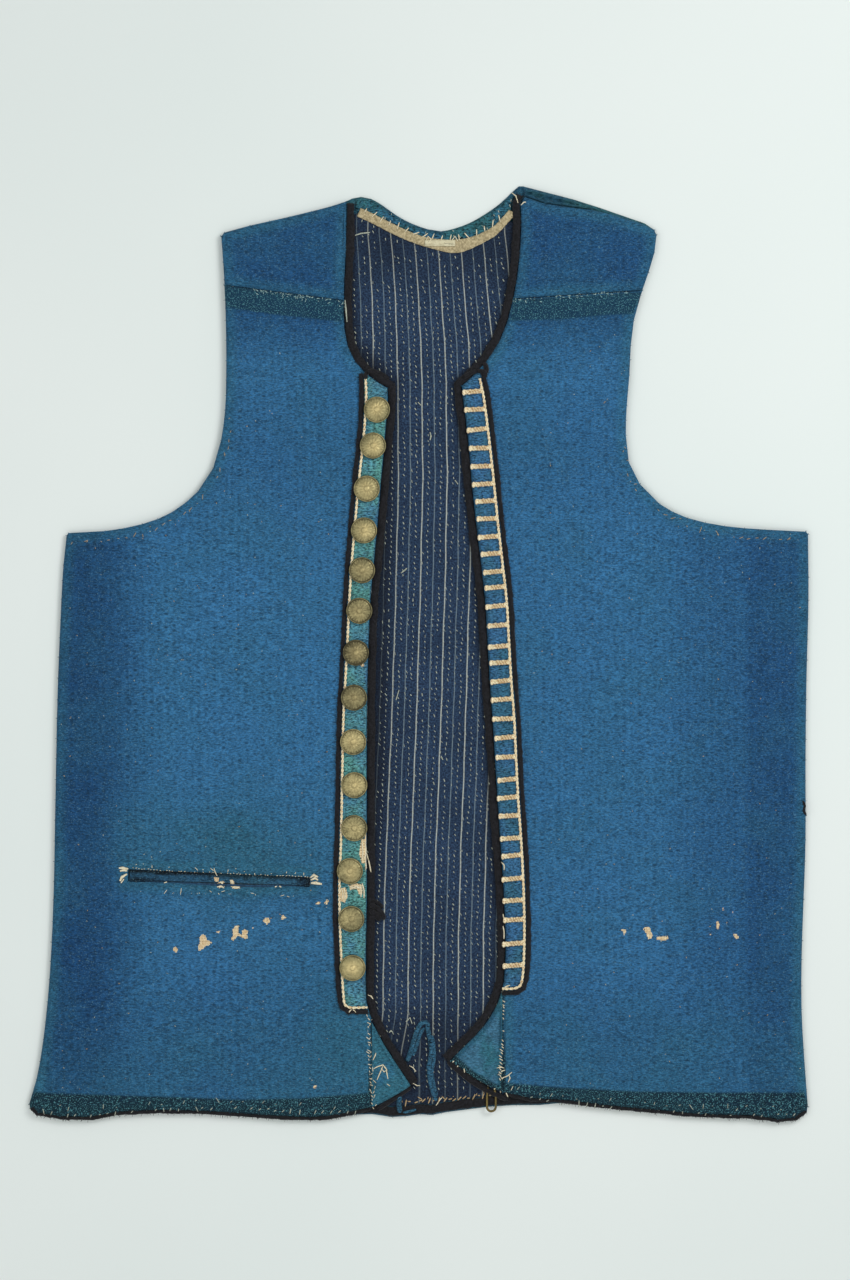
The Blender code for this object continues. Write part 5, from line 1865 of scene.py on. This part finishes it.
    @staticmethod
    def selvedges() -> None:
        """Lay the pale tufts along the shoulders' selvedges."""
        work = ThreadWork("selvedge_tufts", TEAL_THREAD, seed=27)
        for (upper, lower), ends in zip(SHOULDER_BANDS, ((252, 345), (512, 628))):
            first, last = spot(ends[0], 0)[0], spot(ends[1], 0)[0]
            for _ in range(64):
                x = work.chance.uniform(first, last)
                y = float(np.interp(x, *zip(*upper))) - abs(work.chance.gauss(0.4, 1.4))
                work.stitch(x, y, work.chance.uniform(0.0, math.pi),
                            work.chance.uniform(0.8, 2.2), work.chance.uniform(0.12, 0.24))
        work.build()

    @staticmethod
    def flecks(finish: Yarn, seed: int) -> None:
        """Scatter the lint and the ends of quilting thread that the nap has caught.

        Args:
            finish: What the flecks are.
            seed: Gives their places.
        """
        work = ThreadWork(f"lint_flecks_{seed}", finish, seed=seed)
        for _ in range(300):
            px, py = work.chance.uniform(60, 800), work.chance.uniform(330, 1090)
            x, y = spot(px, py)
            x = (math.floor(x / QUILT_PITCH) + 0.5) * QUILT_PITCH + work.chance.gauss(0.0, 0.7)
            if not 330 < px < 530 and GROUND.height(x, y) > 5.0:
                size = work.chance.uniform(0.4, 1.1)
                work.stitch(x, y, work.chance.uniform(0.0, math.pi), size, 0.24 * size ** 0.5)
        work.build()


@dataclass
class Fuzz:
    """Short fibres that stand off the flanks of some pieces."""

    name: str
    finish: Finish
    words: tuple[str, ...]
    hairs: int
    length: tuple[float, float] = (0.7, 1.9)
    radius: float = 0.13
    above: float = 1.2
    seed: int = 41

    def build(self, made: dict[str, bpy.types.Object]) -> None:
        """Grow the fibres.

        Args:
            made: The cloth pieces by name.
        """
        work = ThreadWork(self.name, self.finish, seed=self.seed)
        roots = []
        for name, piece in made.items():
            if any(word in name for word in self.words):
                roots += [
                    (vert.co / MM, vert.normal.copy()) for vert in piece.data.vertices
                    if -0.2 < vert.normal.z < 0.75 and vert.co.z > self.above * MM
                ]
        for root, normal in work.chance.sample(roots, min(self.hairs, len(roots))):
            lean = Vector([work.chance.gauss(0.0, 0.6) for _ in range(3)])
            way = (normal + lean).normalized()
            way.z = abs(way.z) * 0.5
            tip = root + way * work.chance.uniform(*self.length)
            start = root - way * 0.3
            work.strand([(*start, self.radius), (*tip, self.radius * 0.5)])
        work.build()


@dataclass
class MothThreads:
    """Bare warp and weft in the eaten patches."""

    pitch: float = 1.0
    radius: float = 0.27

    def build(self) -> None:
        """Lay the short bare threads across every patch."""
        work = ThreadWork("moth_bared_threads", BARED_WARP, seed=31)
        chance = work.chance
        for loop in MOTH_PATCHES:
            xs, ys = zip(*loop)
            if min(max(xs) - min(xs), max(ys) - min(ys)) < 3.0:
                continue
            for axis, (low, high) in enumerate(((min(ys), max(ys)), (min(xs), max(xs)))):
                at = low + self.pitch / 2
                while at < high:
                    self.bar(work, loop, axis, at + chance.gauss(0.0, 0.12))
                    at += self.pitch
        log.info("moth patches: %d", len(MOTH_PATCHES))
        work.build()

    def bar(self, work: ThreadWork, loop: Route, axis: int, at: float) -> None:
        """Lay one thread from side to side of a patch.

        Args:
            work: The threads that it is one of.
            loop: The patch, in mm.
            axis: 0 for a thread across, 1 for one that runs up.
            at: Where it lies on the other axis, in mm.
        """
        cuts = []
        for a, b in zip(loop, [*loop[1:], loop[0]]):
            first, last = a[1 - axis], b[1 - axis]
            if (first > at) != (last > at):
                cuts.append(a[axis] + (at - first) / (last - first) * (b[axis] - a[axis]))
        cuts.sort()
        for low, high in zip(cuts[::2], cuts[1::2]):
            if high - low < 0.8:
                continue
            low = low + work.chance.uniform(-0.2, 0.5)
            high = high - work.chance.uniform(-0.2, 0.5)
            count = max(2, round((high - low) / 1.2))
            rows = []
            for k in range(count + 1):
                along = low + (high - low) * k / count
                x, y = (along, at) if axis == 0 else (at, along)
                rise = 0.14 * (1 if (k + axis) % 2 else -1)
                rows.append((x, y, GROUND.height(x, y) + 0.16 + rise, self.radius))
            work.strand(rows)


class Hook:
    """The wire loop at the hem."""

    @staticmethod
    def build(wire: float = 0.75) -> None:
        """Bend the wire where its solid lies.

        Args:
            wire: Radius of the wire, in mm.
        """
        low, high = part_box("hem_hook")
        left, right = low.x / MM + wire, high.x / MM - wire
        middle, radius = (left + right) / 2, (right - left) / 2
        top, bend = high.y / MM, low.y / MM + wire + radius
        level = (low.z + high.z) / 2 / MM
        route = [(left + 0.5, top, level, wire), (left, (top + bend) / 2, level, wire)]
        for k in range(13):
            angle = math.pi * (1.0 + k / 12)
            turn = (math.cos(angle), math.sin(angle))
            route.append((middle + radius * turn[0], bend + radius * turn[1], level, wire))
        route += [(right, (top + bend) / 2, level, wire), (right - 0.9, top, level, wire)]
        work = ThreadWork("hook_wire", BRASS, sides=3, nodes=("hem_hook",))
        work.strand(route)
        work.build()


SKY = "#EDF1F1"
SKY_STRENGTH = 0.42


@dataclass
class Studio:
    """Pale floor, soft light and a camera that looks straight down.

    The camera stands so far, in metres, over a level in mm of the vest.
    """

    far: float = 2.4
    level: float = 6.0
    sensor: float = 36.0

    def build(self) -> None:
        """Set the floor, the lights and the camera."""
        self.floor()
        self.light("key_window", (0.85, 0.55, 1.15), 0.7, 10.5)
        self.light("fill_left", (-0.75, 0.0, 1.35), 1.2, 6.5)
        self.light("fill_foot", (0.25, -0.8, 1.3), 1.2, 4.5)
        self.sky()
        self.camera()

    @staticmethod
    def floor() -> None:
        """Lay the pale paper that the vest rests on."""
        bm = bmesh.new()
        bmesh.ops.create_grid(bm, x_segments=2, y_segments=2, size=4.0)
        mesh = bpy.data.meshes.new("floor_paper")
        bm.to_mesh(mesh)
        bm.free()
        mesh.materials.append(Paper("paper_pale", "#DFE7E4", "#E5EBE8").make())
        floor = placed("floor_paper", mesh)

    @staticmethod
    def light(name: str, place: tuple[float, float, float], size: float, power: float) -> None:
        """Hang one soft lamp that looks at the vest.

        Args:
            name: The lamp's name.
            place: Where it hangs, in metres.
            size: Length of its side, in metres.
            power: Its power, in watts.
        """
        lamp = bpy.data.lights.new(name, "AREA")
        lamp.shape = "SQUARE"
        lamp.size = size
        lamp.energy = power
        item = placed(name, lamp)
        item.location = place
        item.rotation_euler = (-Vector(place)).to_track_quat("-Z", "Y").to_euler()

    @staticmethod
    def sky() -> None:
        """Fill the room with even pale light."""
        world = bpy.data.worlds.new("room")
        bpy.context.scene.world = world
        world.use_nodes = True
        back = world.node_tree.nodes["Background"]
        back.inputs["Color"].default_value = rgb(SKY)
        back.inputs["Strength"].default_value = SKY_STRENGTH

    def camera(self) -> None:
        """Look straight down with the picture's framing."""
        data = bpy.data.cameras.new("camera")
        data.sensor_fit = "VERTICAL"
        data.sensor_height = self.sensor
        span = PICTURE_HEIGHT * STEP_MM * MM
        data.lens = self.sensor * self.far / span
        data.clip_start, data.clip_end = 0.1, 20.0
        camera = placed("camera", data)
        x, y = spot(*PICTURE_MIDDLE)
        camera.location = (x * MM, y * MM, self.far + self.level * MM)
        bpy.context.scene.camera = camera
        view = bpy.context.scene.view_settings
        view.view_transform = "Standard"
        view.look = "None"


def declare_cloths() -> None:
    """Look up what each large cloth rests on and which trims lie on it, and do nothing with them.
    """
    below = {"back_cloth": "floor_paper", "lining": "back_cloth"}
    trims = {
        "back_cloth": ("hem_binding_back_wool",),
        "lining": ("facing", "tape", "label_bare", "vent_rolls"),
        "front_with_pocket": ("placket_teal", "welt", "edge_binding_right_wool",
                              "placket_braid_right_wool", "hem_binding_right_wool",
                              "cord_under_buttons"),
        "front_with_bars": ("placket_blue", "edge_binding_left_wool", "cord_with_bars",
                            "placket_braid_left_wool", "hem_binding_left_wool"),
        "shoulder_over_pocket": (), "shoulder_over_bars": (),
        "gusset_under_buttons": (), "gusset_under_bars": (),
    }
    for name, on_it in trims.items():
        rests = below.get(name, "lining")


def count_triangles() -> None:
    """Report how many triangles the new pieces have."""
    solids = set(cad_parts.values())
    counts = {
        item.name: len(item.data.loops) - 2 * len(item.data.polygons)
        for item in bpy.context.scene.objects if item.type == "MESH" and item not in solids
    }
    log.info("triangles: %d in all", sum(counts.values()))
    for name, count in sorted(counts.items(), key=lambda row: -row[1])[:16]:
        log.info("triangles of %s: %d", name, count)


def main() -> None:
    """Build the vest and its studio."""
    logging.basicConfig(level=logging.INFO, format="%(name)s: %(message)s")
    Studio().build()
    made = Panels().build()
    Cords().build()
    Buttons().build()
    Hook.build()
    Needlework().build()
    MothThreads().build()
    Fuzz("binding_fuzz", BLACK_BRAID, ("binding", "braid"), 3200).build(made)
    Fuzz("wool_fuzz", BACK_WOOL, ("front_with", "shoulder_over", "back_cloth"), 2600,
         (0.4, 1.1), above=1.0, seed=42).build(made)
    declare_cloths()
    count_triangles()


if __name__ == "__main__":
    main()
